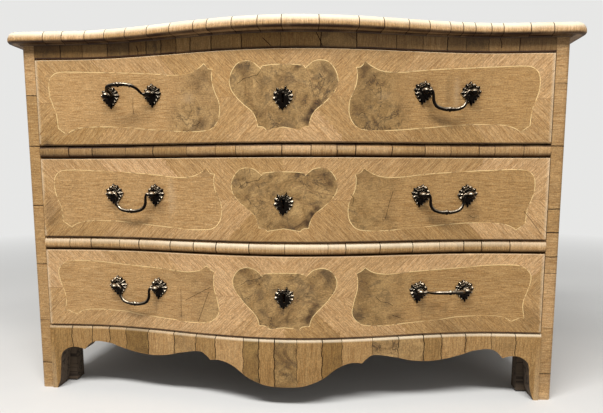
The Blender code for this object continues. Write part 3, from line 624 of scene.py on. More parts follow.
def sheet(name, body, outline, place, paint, thickness=veneer, lines=(), steps_u=(),
          steps_v=(), holes=(), sink=None, replaces=None, core="wood"):
    """Lay a sheet of veneer over a surface and cut it into its leaves.

    place gives the point for a place on the sheet and a depth under its face, and paint
    says which kind of face and which leaf is at a place.
    """
    all_lines = list(lines) + lattice_lines(outline, steps_u, steps_v)
    flat, faces = triangulate(outline, holes, all_lines)
    used = sorted({i for face, _ in faces for i in face})
    renumber = {old: new for new, old in enumerate(used)}
    count = len(used)
    depths = [sink(*flat[i]) if sink else 0.0 for i in used]
    points = [place(flat[i].x, flat[i].y, d) for i, d in zip(used, depths)]
    points += [place(flat[i].x, flat[i].y, thickness) for i in used]
    places = [(*flat[i], depth) for depth in (0.0, thickness) for i in used]
    polygons, kinds, leaves = [], [], []
    rims = {}
    for face, middle in faces:
        corners = [renumber[i] for i in face]
        kind, piece = paint(middle.x, middle.y)
        polygons.append(corners)
        kinds.append(kind)
        leaves.append(piece)
        for a, b in zip(corners, corners[1:] + corners[:1]):
            if (b, a) in rims:
                del rims[b, a]
            else:
                rims[a, b] = piece
    polygons += [[i + count for i in reversed(corners)] for corners in polygons]
    leaves += leaves
    for (a, b), piece in rims.items():
        polygons.append([b, a, a + count, b + count])
        leaves.append(piece)
    kinds += [core] * (len(polygons) - len(kinds))
    leafed_piece(name, points, polygons, [SHEET_MATERIALS[kind] for kind in kinds], leaves,
                 places, (walnut, stringing, seam, fine_seam, grimy_and_shaded), body, replaces)


# Drawer fronts: the half of each outline to the right of the middle, in millimetres from
# the middle of the front. The upper drawer's outlines serve the middle one too.
PANEL_RUNS = (
    ((169, 70.3), (185, 59.8), (207, 51.8), (245, 50.8), (300, 57.3), (360, 61.8),
     (440, 66.3), (510, 67.8), (532, 60.8), (541, 44.8), (541, 18.8), (535, -3.2),
     (528, -23.2), (526, -43.2), (525, -56.2)),
    ((525, -56.2), (514, -64.2), (506, -70.2)),
    ((506, -70.2), (492, -61.2), (465, -54.7), (410, -53.7), (350, -57.2), (300, -62.2),
     (220, -68.7), (175, -68.5), (152, -62.2), (138, -41.2), (136.5, -13.2), (144, 6.8),
     (151, 26.8), (152.5, 46.8), (150, 57.8)),
    ((150, 57.8), (160, 59.8), (169, 70.3)),
)
CARTOUCHE_RUNS = (
    ((0, 63), (26, 62), (43, 60)),
    ((43, 60), (46.5, 55)),
    ((46.5, 55), (54, 62), (63, 68.5), (78, 71.5), (95, 67), (108, 51), (113, 33), (110, 16),
     (100, 1), (84, -15), (67, -29), (59, -41), (55, -52), (53, -62)),
    ((52, -62), (42, -63), (35, -69)),
    ((35, -69), (18, -66), (0, -63)),
)
LOWER_PANEL_RUNS = (
    ((174, 65.6), (185, 57.6), (195, 53.6), (210, 50.6), (230, 49.6), (280, 53.6),
     (320, 55.6), (360, 58.1), (400, 60.6), (440, 64.1), (480, 65.6), (510, 65.1),
     (525, 61.6), (535, 54.6), (542, 45.6), (544, 35.6), (542, 22.6), (536, 2.6),
     (532, -7.4), (530, -17.4), (529, -27.4), (530, -37.4), (533, -55.4)),
    ((533, -55.4), (525, -54.4), (518, -57.4), (505, -63.4)),
    ((505, -63.4), (490, -54.4), (475, -51.4), (455, -50.4), (430, -50.4), (380, -52.4),
     (350, -56.4), (320, -58.9), (260, -62.4), (220, -65.4), (180, -63.4), (168, -60.4),
     (160, -55.4), (152, -47.4), (147, -37.4), (147, -27.4), (149, -15.4), (152, -2.4),
     (156, 10.6), (158, 22.6), (158, 37.6), (156, 52.6)),
    ((156, 52.6), (165, 57.6), (174, 65.6)),
)
LOWER_CARTOUCHE_RUNS = (
    ((0, 55), (25, 54.5), (44, 52)),
    ((44, 52), (48, 47)),
    ((48, 47), (56, 56), (66, 62.5), (80, 65.5), (94, 62.5), (105, 54), (112, 42),
     (113.5, 32), (111, 20), (105, 9), (97, -2), (85, -16), (72, -29), (62, -41),
     (57, -52), (55, -61.5)),
    ((55, -61.5), (45, -62), (38, -64), (31, -69.5)),
    ((31, -69.5), (20, -67), (0, -65)),
)
PANEL_BURR_SHARES = {("upper", -1.0): 0.80, ("upper", 1.0): 1.0, ("middle", -1.0): 0.40,
                     ("middle", 1.0): 0.72, ("lower", -1.0): 0.65, ("lower", 1.0): 0.90}
TRACED_HEIGHT = 0.1886
DIAGONAL_JOINTS = (0.040, 0.187, 0.345, 0.507)
joint_shift = 0.012
ground_spread = 0.17

# Old damage, in millimetres from the middle of a drawer front: stains as their place, their
# half width and height and how bleached (+) or grimy (-) they are, and cracks as lines.
CARTOUCHE_STAINS = (
    (-88, 50, 22, 20, -0.22), (-72, 38, 10, 10, -0.20), (84, 55, 12, 14, -0.55),
    (99, 42, 12, 20, -0.50), (91, 30, 9, 14, -0.26), (71, -16, 11, 10, -0.80),
    (60, -30, 12, 12, -0.90), (50, -48, 13, 14, -0.85), (31, 57, 7, 7, -0.90),
    (0, -52, 46, 14, -0.26), (-44, -30, 16, 22, -0.18), (-20, 20, 26, 10, -0.14),
)
CARTOUCHE_VEINS = (
    ((17, 33), (36, 24), (63, 18), (106, 10)), ((44, 60), (52, 44), (60, 31), (63, 19)),
    ((20, -4), (38, -6), (56, -9), (72, -14)), ((70, 62), (78, 48), (86, 34)),
    ((-20, -10), (-34, -22), (-38, -44)), ((-90, 12), (-70, 4), (-52, 8)),
)
CARTOUCHE_CRACKS = (
    ((-96, 26), (-82, 36), (-71, 38), (-62, 41), (-53, 42), (-46, 51)),
    ((-55, 31), (-51, 26)), ((102, 11), (107, 9)),
)
DRAWER_STAINS = {
    "upper": ((169, 56, 15, 14, -0.62), (188, 38, 14, 13, -0.36), (209, 1, 18, 8, 0.05),
              (161, -30, 20, 26, -0.22), (326, -42, 40, 12, -0.32), (-183, 41, 26, 26, -0.28),
              (-178, -53, 24, 12, -0.50), (-208, 1, 18, 14, 0.06), (-341, -27, 8, 8, -0.40),
              (-552, -86, 14, 12, -0.60), (345, 14, 8, 44, -0.24), (366, 10, 9, 44, 0.10)),
    "middle": ((171, 62, 14, 12, -0.40), (222, -37, 7, 7, -0.40), (329, -42, 40, 10, -0.32),
               (409, -38, 22, 14, -0.28), (-278, -6, 12, 48, -0.26), (-170, 58, 16, 14, -0.32),
               (-255, 0, 12, 52, 0.10), (232, 4, 9, 52, -0.24), (-560, -34, 40, 44, -0.34)),
    "lower": ((175, 52, 26, 22, -0.38), (173, 12, 20, 24, -0.30), (240, -46, 22, 9, -0.50),
              (161, -42, 18, 20, -0.40), (329, -26, 14, 12, -0.36), (352, -34, 10, 14, -0.34),
              (300, -34, 8, 18, -0.24), (-170, 31, 26, 26, -0.22), (-238, -52, 9, 9, -0.45),
              (-301, -33, 8, 18, -0.24), (-511, 50, 6, 6, -0.40), (545, -60, 30, 30, -0.22)),
}
DRAWER_CRACKS = {
    "upper": (((-341, 8), (-342, -10), (-341, -27)), ((186, 44), (191, 38)),
              ((156, -38), (163, -32), (170, -36)), ((-181, -50), (-190, -56), (-200, -58))),
    "middle": (((-147, 15), (-142, 2), (-138, -9)), ((232, 19), (224, -5), (216, -40)),
               ((521, -25), (541, -50), (561, -76)), ((142, 12), (148, 4), (146, -8)),
               ((401, -34), (410, -40), (419, -38))),
    "lower": (((198, 0), (209, -11), (225, -14), (237, -22)), ((236, -43), (250, -48), (261, -53)),
              ((-170, 7), (-184, -28), (-197, -62)), ((-238, 9), (-239, -54)),
              ((-228, -16), (-196, 2), (-165, 18))),
}


def stained(stains, u, v):
    """How pale or dirty a drawer front is at a place, from its stains."""
    wear = 0.0
    for x, z, half_width, half_height, strength in stains:
        reach = math.hypot((u - x * UNIT) / (half_width * UNIT),
                           (v - z * UNIT) / (half_height * UNIT))
        wear += strength * (1.0 - ease(reach, 0.3, 1.1))
    return wear


def keyhole_outline(centre_z, radius=0.0042, slot=0.0060, height=0.0230, steps=12):
    """A round hole over a slot, which runs down from it."""
    top = centre_z + height / 2 - radius
    bottom = centre_z - height / 2
    start = math.asin(slot / 2 / radius)
    points = [(-slot / 2, bottom), (slot / 2, bottom)]
    for step in range(steps + 1):
        angle = start + (2.0 * math.pi - 2.0 * start) * step / steps
        points.append((radius * math.sin(angle), top - radius * math.cos(angle)))
    return points


def mirrored(points):
    """The points on the other side of the middle, in the same turn."""
    return [(-u, v) for u, v in reversed(points)]


def diagonal_joints(middle, reach, draw):
    """The ground's joints: they run out and away from the mid-height, which has one too."""
    joints = []
    for sign_x in (-1.0, 1.0):
        for sign_z in (-1.0, 1.0):
            for q in DIAGONAL_JOINTS:
                q += draw.uniform(-joint_shift, joint_shift)
                joints.append(((sign_x * q, middle),
                               (sign_x * (q + reach), middle + sign_z * reach)))
    joints.append(((-drawer_half, middle), (drawer_half, middle)))
    return joints


def make_drawer_veneer(name, key_z, seed):
    """Two reserve panels and a cartouche in pale stringing, in a ground of slanting leaves."""
    low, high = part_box(f"{name}_drawer_front")
    middle = (low.z + high.z) / 2
    height = high.z - low.z
    lowest = name == DRAWERS[-1]
    stretch = UNIT if lowest else UNIT * height / TRACED_HEIGHT
    panel_runs = LOWER_PANEL_RUNS if lowest else PANEL_RUNS
    cartouche_runs = LOWER_CARTOUCHE_RUNS if lowest else CARTOUCHE_RUNS
    draw = random.Random(seed)
    panel = [(x, middle + z) for x, z in joined_runs(panel_runs, UNIT, stretch, 4)][:-1]
    half_cartouche = [(x, middle + z) for x, z in joined_runs(cartouche_runs, UNIT, stretch, 5)]
    cartouche = half_cartouche[:-1] + mirrored(half_cartouche)[:-1]
    shapes = [("panel", panel, 1.0), ("panel", mirrored(panel), -1.0),
              ("cartouche", cartouche, 1.0)]
    lines, regions = [], []
    for kind, outline, sign in shapes:
        outer, inner, edges = stringed(outline)
        lines += edges
        regions.append((kind, outer, inner, sign))

    joints = diagonal_joints(middle, height, draw)
    cracks = path_strips(CARTOUCHE_CRACKS + DRAWER_CRACKS[name], middle)
    veins = path_strips(CARTOUCHE_VEINS, middle)
    lines += edges_of(joints, fine_joint) + edges_of(cracks + veins, crack_width)
    panels = [inner for kind, _, inner, _ in regions if kind == "panel"]
    panel_stains, ground_stains = [], []
    for stain in DRAWER_STAINS[name]:
        x, z = stain[0] * UNIT, middle + stain[1] * UNIT
        on_panel = any(panel_region.holds(x, z) for panel_region in panels)
        (panel_stains if on_panel else ground_stains).append(stain)

    tones = {}
    ground_seed = draw.random()

    # The edges are scuffed pale and a little dirty, and the band along the bottom edge is painted
    # shade, where the gap below lies in shadow.
    def ground_wear_and_light(u, v):
        rim = min(high.z - v, drawer_half - abs(u))
        worn_and_lit = 0.38 * (1.0 - ease(rim, 0.0006, 0.0022))
        worn_and_lit -= 0.80 * (1.0 - ease(v - low.z, 0.0014, 0.0036))
        worn_and_lit -= 0.08 * (1.0 - ease(min(rim, v - low.z), 0.002, 0.03))
        return worn_and_lit + stained(ground_stains, u, v - middle)

    def stain_wear(stains):
        return lambda u, v: stained(stains, u, v - middle)

    def inner_burr(share):
        return lambda u, v: share * (1.0 - ease(abs(u), 0.17, 0.33))

    panel_leaf = {sign: leaf(0.0, draw.random() * 0.02 + seed * 0.13, 0.81 - 0.06 * sign,
                             inner_burr(PANEL_BURR_SHARES[name, sign]), sign,
                             wear=stain_wear(panel_stains))
                  for sign in (-1.0, 1.0)}
    burr_leaf = leaf(20.0, 0.31 + 0.004 * seed, 0.80, 1.0, wear=stain_wear(CARTOUCHE_STAINS))

    def paint(u, v):
        if on_strip(cracks, crack_width, u, v):
            return "joint", burr_leaf
        for kind, outer, inner, sign in regions:
            if outer.holds(u, v):
                if not inner.holds(u, v):
                    return "string", panel_leaf[sign]
                if kind == "panel":
                    return "wood", panel_leaf[sign]
                if on_strip(veins, crack_width, u, v):
                    return "fine", burr_leaf
                return "wood", burr_leaf
        if on_strip(joints, fine_joint, u, v):
            return "fine", burr_leaf
        sign_x = 1.0 if u > 0.0 else -1.0
        sign_z = 1.0 if v > middle else -1.0
        q = abs(u) - abs(v - middle)
        index = sum(q > place for place in DIAGONAL_JOINTS)
        key = (sign_x, sign_z, index)
        if key not in tones:
            tones[key] = 1.0 + draw.uniform(-ground_spread, ground_spread)
        shade = (0.93 + 0.02 * sign_z - 0.015 * sign_x) * tones[key]
        return "wood", leaf(45.0, ground_seed + 0.11 * (index % 2), shade, 0.0, sign_x, sign_z,
                            ground_wear_and_light)

    half = drawer_half - veneer_proud / 4
    outline = rectangle(-half, low.z + edge_wear / 4, half, high.z - edge_wear / 4)

    def sink(u, v):
        reach = min(half - abs(u), v - outline[0][1], outline[2][1] - v)
        share = 1.0 - min(max(reach / edge_wear, 0.0), 1.0)
        return edge_wear * 0.6 * share * share

    def place(u, v, depth):
        return front_point(u, v, veneer_proud - depth)

    rim_steps = (edge_wear * 0.5, edge_wear)
    edges_u = [s * (half - step) for s in (-1, 1) for step in rim_steps]
    edges_v = [outline[0][1] + step for step in rim_steps]
    edges_v += [outline[2][1] - step for step in rim_steps]
    edges_v += [low.z + 0.0018, low.z + 0.0036, high.z - 0.0018, high.z - 0.0036]
    edges_v += even_steps(low.z, high.z, lattice)[1:-1]
    sheet(f"{name}_front_veneer", f"{name}_drawer", outline, place, paint,
          lines=lines, steps_u=even_steps(-half, half, lattice) + edges_u, steps_v=edges_v,
          holes=[keyhole_outline(key_z)], sink=sink)


# Crossbanded rails, stiles and apron: each is cut into short leaves by joints across it.

def wobble(joint, v, reach):
    """How far an old joint strays sideways at a place along it."""
    return reach * (0.65 * math.sin(v * 150.0 + joint * 900.0)
                    + 0.35 * math.sin(v * 410.0 + joint * 517.0))


def joint_gap(joint):
    """How wide an old joint has opened."""
    return joint_width * (0.45 + 0.85 * abs(math.sin(joint * 7919.0)))


def banded_paint(joints, seed, spread=0.10, stray=usual_stray, tone=1.0, wear=0.0, curl=0.0,
                 tone_shares=None):
    """Leaves across a band between the joints along it; some have a share of burr."""
    draw = random.Random(seed)
    leaves = []
    for index in range(len(joints) + 1):
        piece_seed, piece_tone = draw.random(), tone * (1.0 + draw.uniform(-spread, spread))
        if tone_shares:
            piece_tone *= tone_shares[index]
        leaves.append(leaf(90.0 + draw.uniform(-4.0, 4.0), piece_seed, piece_tone,
                           curl * max(draw.uniform(-0.8, 1.0), 0.0), wear=wear))

    def paint(u, v):
        index = 0
        for place in joints:
            beyond = u - place - wobble(place, v, stray)
            if abs(beyond) < joint_gap(place) / 2:
                return "joint", leaves[index]
            index += beyond > 0.0
        return "wood", leaves[index]
    return paint


def cross_lines(joints, low_v, high_v, stray=usual_stray):
    """The edges of joints that run across a band."""
    lines = []
    heights = [low_v, *even_steps(low_v, high_v, joint_pitch), high_v]
    for place in joints:
        for edge in (-joint_gap(place) / 2, joint_gap(place) / 2):
            lines.append([(place + wobble(place, v, stray) + edge, v) for v in heights])
    return lines


# Joints in millimetres from the middle of the front, and of the stiles in metres from the floor
RAIL_JOINTS = {
    "rail_upper": (-504, -448, -365, -297, -215, -148, -102, -3, 58, 112, 151, 228, 300, 357,
                   419, 453, 515),
    "rail_lower": (-513, -462, -390, -341, -262, -205, -151, -76, 2, 94, 132, 206, 278, 338,
                   393, 433, 495),
    "top_rail": (-512, -461, -401, -348, -306, -270, -234, -201, -153, -87, -4, 78, 151, 234,
                 290, 343, 384, 432, 497),
}
# How strong the painted highlight on a rail's nose is, where it is brightest and where painted
# shade starts
RAIL_LIGHT_SHARES = {"rail_upper": (0.22, 0.56, 0.68), "rail_lower": (0.78, 0.70, 0.86)}
NOSE_JOINTS = (-541, -498, -444, -395, -343, -288, -233, -178, -148, -96, -45, 1, 72, 149, 199,
               251, 295, 340, 368, 395, 430, 456, 513, 560)
APRON_JOINTS = (-519, -469, -425, -382, -325, -258, -204, -157, -92, -57, -22, 27, 82, 125, 192,
                250, 308, 349, 404, 463, 517)
APRON_TONE_SHARES = (0.84, 1.02, 1.10, 0.90, 0.66, 1.14, 1.12, 0.96, 1.14, 0.78, 0.92, 1.00,
                     0.96, 0.72, 1.10, 1.16, 1.14, 0.80, 1.14, 0.96, 1.12, 0.92)
STILE_JOINTS = {
    "left": (0.062, 0.167, 0.303, 0.441, 0.577, 0.690),
    "right": (0.062, 0.169, 0.294, 0.331, 0.385, 0.437, 0.573, 0.705),
}


def rounded_strip(straight, radius, middle):
    """A strip that runs straight, round a quarter circle, straight, round another and on.

    Returns its length, a function from a place on it to the point and outward direction in
    its plane, and the places where the rounding turns. The first run goes along +X.
    """
    quarter = math.pi / 2 * radius
    marks = [0.0, straight]
    marks += [marks[-1] + quarter, marks[-1] + quarter + middle]
    marks += [marks[-1] + quarter]
    marks += [marks[-1] + straight]

    def point(t):
        if t <= marks[1]:
            return Vector((t, 0.0)), Vector((0.0, -1.0))
        corner = Vector((marks[1], radius))
        if t <= marks[2]:
            angle = (t - marks[1]) / radius
            out = Vector((math.sin(angle), -math.cos(angle)))
            return corner + out * radius, out
        if t <= marks[3]:
            return corner + Vector((radius, t - marks[2])), Vector((1.0, 0.0))
        corner += Vector((0.0, middle))
        if t <= marks[4]:
            angle = (t - marks[3]) / radius
            out = Vector((math.cos(angle), math.sin(angle)))
            return corner + out * radius, out
        return corner + Vector((marks[4] - t, radius)), Vector((0.0, 1.0))

    turns = []
    for start in (marks[1], marks[3]):
        turns += [start + quarter * i / 8 for i in range(9)]
    return marks[-1], point, turns


def make_rail_veneer(name, seed):
    """The half-round nose of a rail, banded across its length."""
    low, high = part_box(name)
    radius = rail_nose
    length, point, turns = rounded_strip(rail_flat, radius, high.z - low.z - 2 * radius)
    joints = [x * UNIT for x in RAIL_JOINTS[name]]

    def place(u, v, depth):
        spot, out = point(v)
        proud = rail_swell * (1.5 * ease(out.x, 0.05, 0.45) - 0.5)
        spot = spot + out * (proud - depth)
        return front_point(u, low.z + spot.y, spot.x - rail_flat - radius)

    half = opening_half - rail_swell
    outline = rectangle(-half, 0.0, half, length)
    bleach_and_highlight, pale_at, dark_from = RAIL_LIGHT_SHARES[name]
    front_start, front_end = turns[0], turns[-1]

    # A painted highlight across the nose, weaker towards the ends, and painted shade where the nose
    # turns in at its bottom and top, by the gaps; the upper rail is also darker overall and towards
    # its ends, most to the left.
    def wear(u, v):
        share = (v - front_start) / (front_end - front_start)
        pale = max(1.0 - abs(share - pale_at) / 0.24, 0.0)
        pale *= 1.0 - ease(abs(u), 0.20, 0.50) * 0.5
        dark = 1.0 - ease(share, 0.10, 0.40) + ease(share, dark_from, dark_from + 0.07)
        dark = 0.92 * min(dark, 1.0)
        if name == "rail_upper":
            dark += 0.08 + 0.34 * ease(-u, 0.02, 0.34) + 0.10 * ease(u, 0.10, 0.40)
        return bleach_and_highlight * pale - min(dark, 0.95)

    sheet(f"{name}_veneer", "carcass", outline, place,
          banded_paint(joints, seed, 0.15, tone=0.84, wear=wear, curl=0.5),
          lines=cross_lines(joints, 0.0, length),
          steps_u=even_steps(-half, half, lattice), steps_v=turns)


TOP_RAIL_CRACKS = (((-42, 789), (-33, 781), (-25, 773)), ((67, 801), (73, 790), (81, 772)),
                   ((-330, 790), (-326, 780), (-327, 772)), ((455, 800), (459, 786), (458, 778)))


def make_top_rail_veneer():
    """The band over the upper drawer, darkened as painted shade from the top's overhang."""
    low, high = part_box("top_rail")
    joints = [x * UNIT for x in RAIL_JOINTS["top_rail"]]
    half = opening_half - veneer_proud / 2
    outline = rectangle(-half, low.z, half, high.z)
    cracks = path_strips(TOP_RAIL_CRACKS)
    lines = cross_lines(joints, low.z, high.z, top_rail_stray)
    lines += edges_of(cracks, joint_width)

    # Painted shade: darker towards the top under the overhang, with a dark line just below it and
    # along the bottom edge by the gap; also darker towards the ends.
    def wear(u, v):
        dark = 0.30 + 0.22 * ease(v, low.z + 0.010, high.z) + 0.22 * ease(abs(u), 0.15, 0.45)
        dark += 0.40 * ease(v, high.z - 0.004, high.z - 0.001)
        return -dark - 0.60 * (1.0 - ease(v, low.z + 0.0012, low.z + 0.0036))

    # The rail's low tone of 0.60 is painted shade too.
    banded = banded_paint(joints, 31, 0.17, top_rail_stray, 0.60, wear, 0.8)

    def paint(u, v):
        kind, piece = banded(u, v)
        if on_strip(cracks, joint_width, u, v):
            kind = "joint"
        return kind, piece

    def place(u, v, depth):
        return front_point(u, v, veneer_proud - face_step - depth)

    sheet("top_rail_veneer", "carcass", outline, place, paint, lines=lines,
          steps_u=even_steps(-half, half, lattice),
          steps_v=[low.z + 0.0012, low.z + 0.0036, low.z + 0.010, high.z - 0.010,
                   high.z - 0.004, high.z - 0.001])


APRON_RUN_SHARES = (
    ((0.000, 0.303), (0.070, 0.321), (0.140, 0.416), (0.192, 0.556), (0.227, 0.622),
     (0.262, 0.650), (0.296, 0.637)),
    ((0.296, 0.637), (0.314, 0.702), (0.344, 0.751), (0.419, 0.702), (0.488, 0.637),
     (0.558, 0.612), (0.628, 0.636), (0.698, 0.696), (0.732, 0.738), (0.793, 0.766),
     (0.828, 0.728), (0.854, 0.631)),
    ((0.854, 0.631), (0.889, 0.663), (0.924, 0.647), (0.954, 0.556), (0.960, 0.388),
     (0.963, 0.259), (0.968, 0.130), (0.981, 0.000)),
)


def make_apron():
    """The shaped board under the lower drawer, with a rounded upper edge."""
    half = apron_half
    right = joined_runs(APRON_RUN_SHARES, half, apron_height, 5)
    left = [(-x, z) for x, z in reversed(right[1:])]
    outline = [(-half, 0.0), *left, *right, (half, 0.0), (half, apron_height),
               (-half, apron_height)]
    start = apron_height - apron_edge

    def sink(u, v):
        rise = min(max((v - start) / apron_edge, 0.0), 1.0)
        return apron_edge * (1.0 - math.sqrt(1.0 - rise * rise))

    def place(u, v, depth):
        return front_point(u, v, apron_proud - depth)

    joints = [x * UNIT for x in APRON_JOINTS]
    rounds = [start + apron_edge * math.sin(math.radians(a)) for a in range(0, 90, 10)]

    # A painted highlight along the rounded upper edge, stronger to the right, a pale scuffed rim
    # along the bottom edge, and painted shade low down.
    def wear(u, v):
        worn_and_lit = 0.62 * ease(v, apron_height - 0.009, apron_height - 0.003)
        worn_and_lit *= 0.45 + 0.55 * ease(u, -0.40, 0.05)
        worn_and_lit += 0.45 * (1.0 - ease(v, 0.0, 0.006))
        return worn_and_lit - 0.06 - 0.26 * (1.0 - ease(v, 0.0, 0.07))

    # Its low tone of 0.71 is painted shade as well.
    sheet("shaped_apron", "carcass", outline, place,
          banded_paint(joints, 57, 0.08, apron_stray, 0.71, wear, 0.9, APRON_TONE_SHARES),
          thickness=apron_thickness, core="core",
          lines=cross_lines(joints, -veneer, apron_height + veneer, apron_stray), sink=sink,
          steps_u=even_steps(-half, half, lattice), steps_v=rounds, replaces="apron")


def stile_wear_and_light(u, v):
    """Painted shade low down and a painted shadow under the top, with the foot's very end scuffed
    pale.
    """
    dark = 0.06 + 0.28 * (1.0 - ease(u, 0.0, 0.12))
    dark += 0.50 * ease(u, stile_high.z - 0.030, stile_high.z - 0.004)
    return 0.45 * (1.0 - ease(u, 0.0, 0.006)) - dark


def make_stile_veneers():
    """Bands up the corner posts, which wrap round their arris."""
    width = carcass_half - opening_half
    depth = stile_high.y - stile_low.y
    radius = stile_arris
    quarter = math.pi / 2 * radius
    first = width - radius
    length = first + quarter + depth - radius
    for side, sign in (("left", -1.0), ("right", 1.0)):
        joints = STILE_JOINTS[side]

        def place(v, u, depth, sign=sign):
            if u <= first:
                spot, out = Vector((opening_half + u, stile_low.y)), Vector((0.0, -1.0))
            elif u <= first + quarter:
                angle = (u - first) / radius
                out = Vector((math.sin(angle), -math.cos(angle)))
                spot = Vector((carcass_half - radius, stile_low.y + radius)) + out * radius
            else:
                out = Vector((1.0, 0.0))
                spot = Vector((carcass_half, stile_low.y + radius + u - first - quarter))
            spot += out * (veneer_proud - depth)
            return Vector((sign * spot.x, spot.y, v))

        outline = rectangle(0.0, 0.0, stile_high.z, length)
        turns = [first + quarter * i / 8 for i in range(9)]
        sheet(f"stile_{side}_veneer", "carcass", outline, place,
              banded_paint(joints, 71 + sign, 0.12, tone=0.90, wear=stile_wear_and_light),
              lines=cross_lines(joints, 0.0, length), steps_v=turns,
              steps_u=even_steps(0.0, stile_high.z, side_pitch))


# The top board and the cove under it, which are lofts along the front and both ends.

end_y = crown_y + front_bulge
band_joint = 0.0016
top_band = 0.046
corner_steps = 6


def top_front(x, proud):
    """A place on the top's front edge: its overhang is less at the ends than in the middle."""
    drawn_in = (top_overhang - top_end_overhang) * setback(x) / front_bulge
    return front_point(x, 0.0, proud - drawn_in).xy


def edge_stations(centre, joints):
    """Places along the top's edge, from the left back corner round to the right one.

    centre is the middle of the right front corner's rounding. Each station is its distance
    along the edge, whether a joint starts there, and a function from how far a line stands
    proud of the carcass to its point there.
    """
    half = centre.x
    arc = math.pi / 2 * top_corner
    side_length = back_y - centre.y
    total = half + arc + side_length
    marks = set(even_steps(-half, half, lattice)) | {-half, half}
    side_marks = [*even_steps(half + arc, total, side_pitch), total]
    marks |= {sign * m for m in side_marks for sign in (-1.0, 1.0)}
    for step in range(1, corner_steps + 1):
        marks |= {half + arc * step / corner_steps, -half - arc * step / corner_steps}
    pairs = [(j - band_joint / 2, j + band_joint / 2) for j in joints]
    marks = {m for m in marks
             if not any(a - band_joint < m < b + band_joint for a, b in pairs)}
    starts = {a for a, _ in pairs}
    marks |= starts | {b for _, b in pairs}

    def at(mark, proud):
        sign = 1.0 if mark > 0.0 else -1.0
        reach = abs(mark)
        if reach <= half:
            return top_front(mark, proud)
        if reach < half + arc:
            angle = (reach - half) / top_corner
            radius = top_corner - top_overhang + proud
            return Vector((sign * (half + radius * math.sin(angle)),
                           centre.y - radius * math.cos(angle)))
        return Vector((sign * (carcass_half + proud), centre.y + reach - half - arc))

    return [(m, m in starts, at) for m in sorted(marks)]


def loft(name, stations, profile, joints, seed, replaces, spread, wear):
    """Draw a profile of proud and height along the stations and close it into one body."""
    draw = random.Random(seed)
    leaves = [leaf(0.0, draw.random(), 1.0 + draw.uniform(-spread, spread), wear=wear)
              for _ in range(len(joints) + 1)]
    points, places, polygons, kinds, mapped = [], [], [], [], []
    travelled = [0.0]
    for (a, b), (c, d) in zip(profile, profile[1:]):
        travelled.append(travelled[-1] + math.hypot(c - a, d - b))
    across = len(profile)
    for mark, _, at in stations:
        for index, (proud, z) in enumerate(profile):
            spot = at(mark, proud)
            points.append((spot.x, spot.y, z))
            places.append((travelled[index], mark, 0.0))
    for row, (mark, starts_joint, _) in enumerate(stations[:-1]):
        piece = leaves[sum(mark > j - joint_width for j in joints)]
        for index in range(across - 1):
            a = row * across + index
            polygons.append((a, a + 1, a + across + 1, a + across))
            kinds.append(LOFT_MATERIALS["joint" if starts_joint else "wood"])
            mapped.append(piece)
    first_row = list(range(across))
    last_row = [(len(stations) - 1) * across + i for i in range(across)]
    starts = [row * across for row in range(len(stations))]
    ends = [row * across + across - 1 for row in range(len(stations))]
    for ring, kind in ((starts[::-1], "hidden"), (ends, "hidden"),
                       (first_row[::-1] + last_row, "back")):
        polygons.append(tuple(ring))
        kinds.append(LOFT_MATERIALS[kind])
        mapped.append(leaves[0])
    leafed_piece(name, points, polygons, kinds, mapped, places,
                 (walnut, stringing, seam, grimy_and_shaded, pine_x), "carcass", replaces)


def quarter_round(centre_a, centre_b, radius, start, end, steps):
    """Points of a profile on a circle, from one direction in degrees to another."""
    points = []
    for step in range(steps + 1):
        angle = math.radians(start + (end - start) * step / steps)
        points.append((centre_a + radius * math.cos(angle), centre_b + radius * math.sin(angle)))
    return points


TOP_FRONT_JOINTS = (-430, -300, -180, -60, 60, 180, 300, 430)
TOP_END_JOINTS = (0.16, 0.27, 0.39, 0.48)
TOP_SIDE_JOINT_SHARES = (0.14, 0.36, 0.58, 0.80)


def make_top():
    """The top board with its bullnose, banded across, and the veneer that lies on it."""
    thickness = top_high.z - top_low.z
    inner = top_overhang - nose_reach
    under = thickness - nose_drop
    lip = 0.0003
    profile = [(inner - lip, top_high.z - veneer), (inner - lip, top_high.z)]
    for step in range(13):
        angle = math.pi / 2 * step / 12
        profile.append((inner + nose_reach * math.sin(angle),
                        top_high.z - nose_drop + nose_drop * math.cos(angle)))
    profile += quarter_round(top_overhang - under, top_low.z + under, under, 0.0, -90.0, 6)[1:]
    profile += [(top_overhang - under - 0.006, top_low.z), (0.0, top_low.z)]
    centre = Vector((carcass_half + top_overhang - top_corner,
                     end_y - top_end_overhang + top_corner))
    side = [centre.x + reach for reach in TOP_END_JOINTS]
    joints = sorted([x * UNIT for x in NOSE_JOINTS] + side + [-s for s in side])
    stations = edge_stations(centre, joints)
    quarter = math.pi / 2 * (nose_reach + nose_drop) / 2
    half_width = centre.x

    # A painted highlight over the upper part of the bullnose, partly real fading, weaker round the
    # ends, and painted shade over its lower part, lighter again further under the top.
    def wear(u, v):
        pale = 0.92 * (1.0 - ease(u, quarter * 0.48, quarter * 1.02))
        pale *= 1.0 - 0.35 * ease(abs(v), half_width, half_width + 0.08)
        dark = 0.92 * ease(u, quarter * 1.05, quarter * 1.25)
        return pale - dark + 0.42 * ease(u, quarter * 1.38, quarter * 1.75)

    loft("top_board", stations, profile, joints, 91, "top", 0.10, wear)
    make_top_veneer(stations, inner - lip * 1.6)


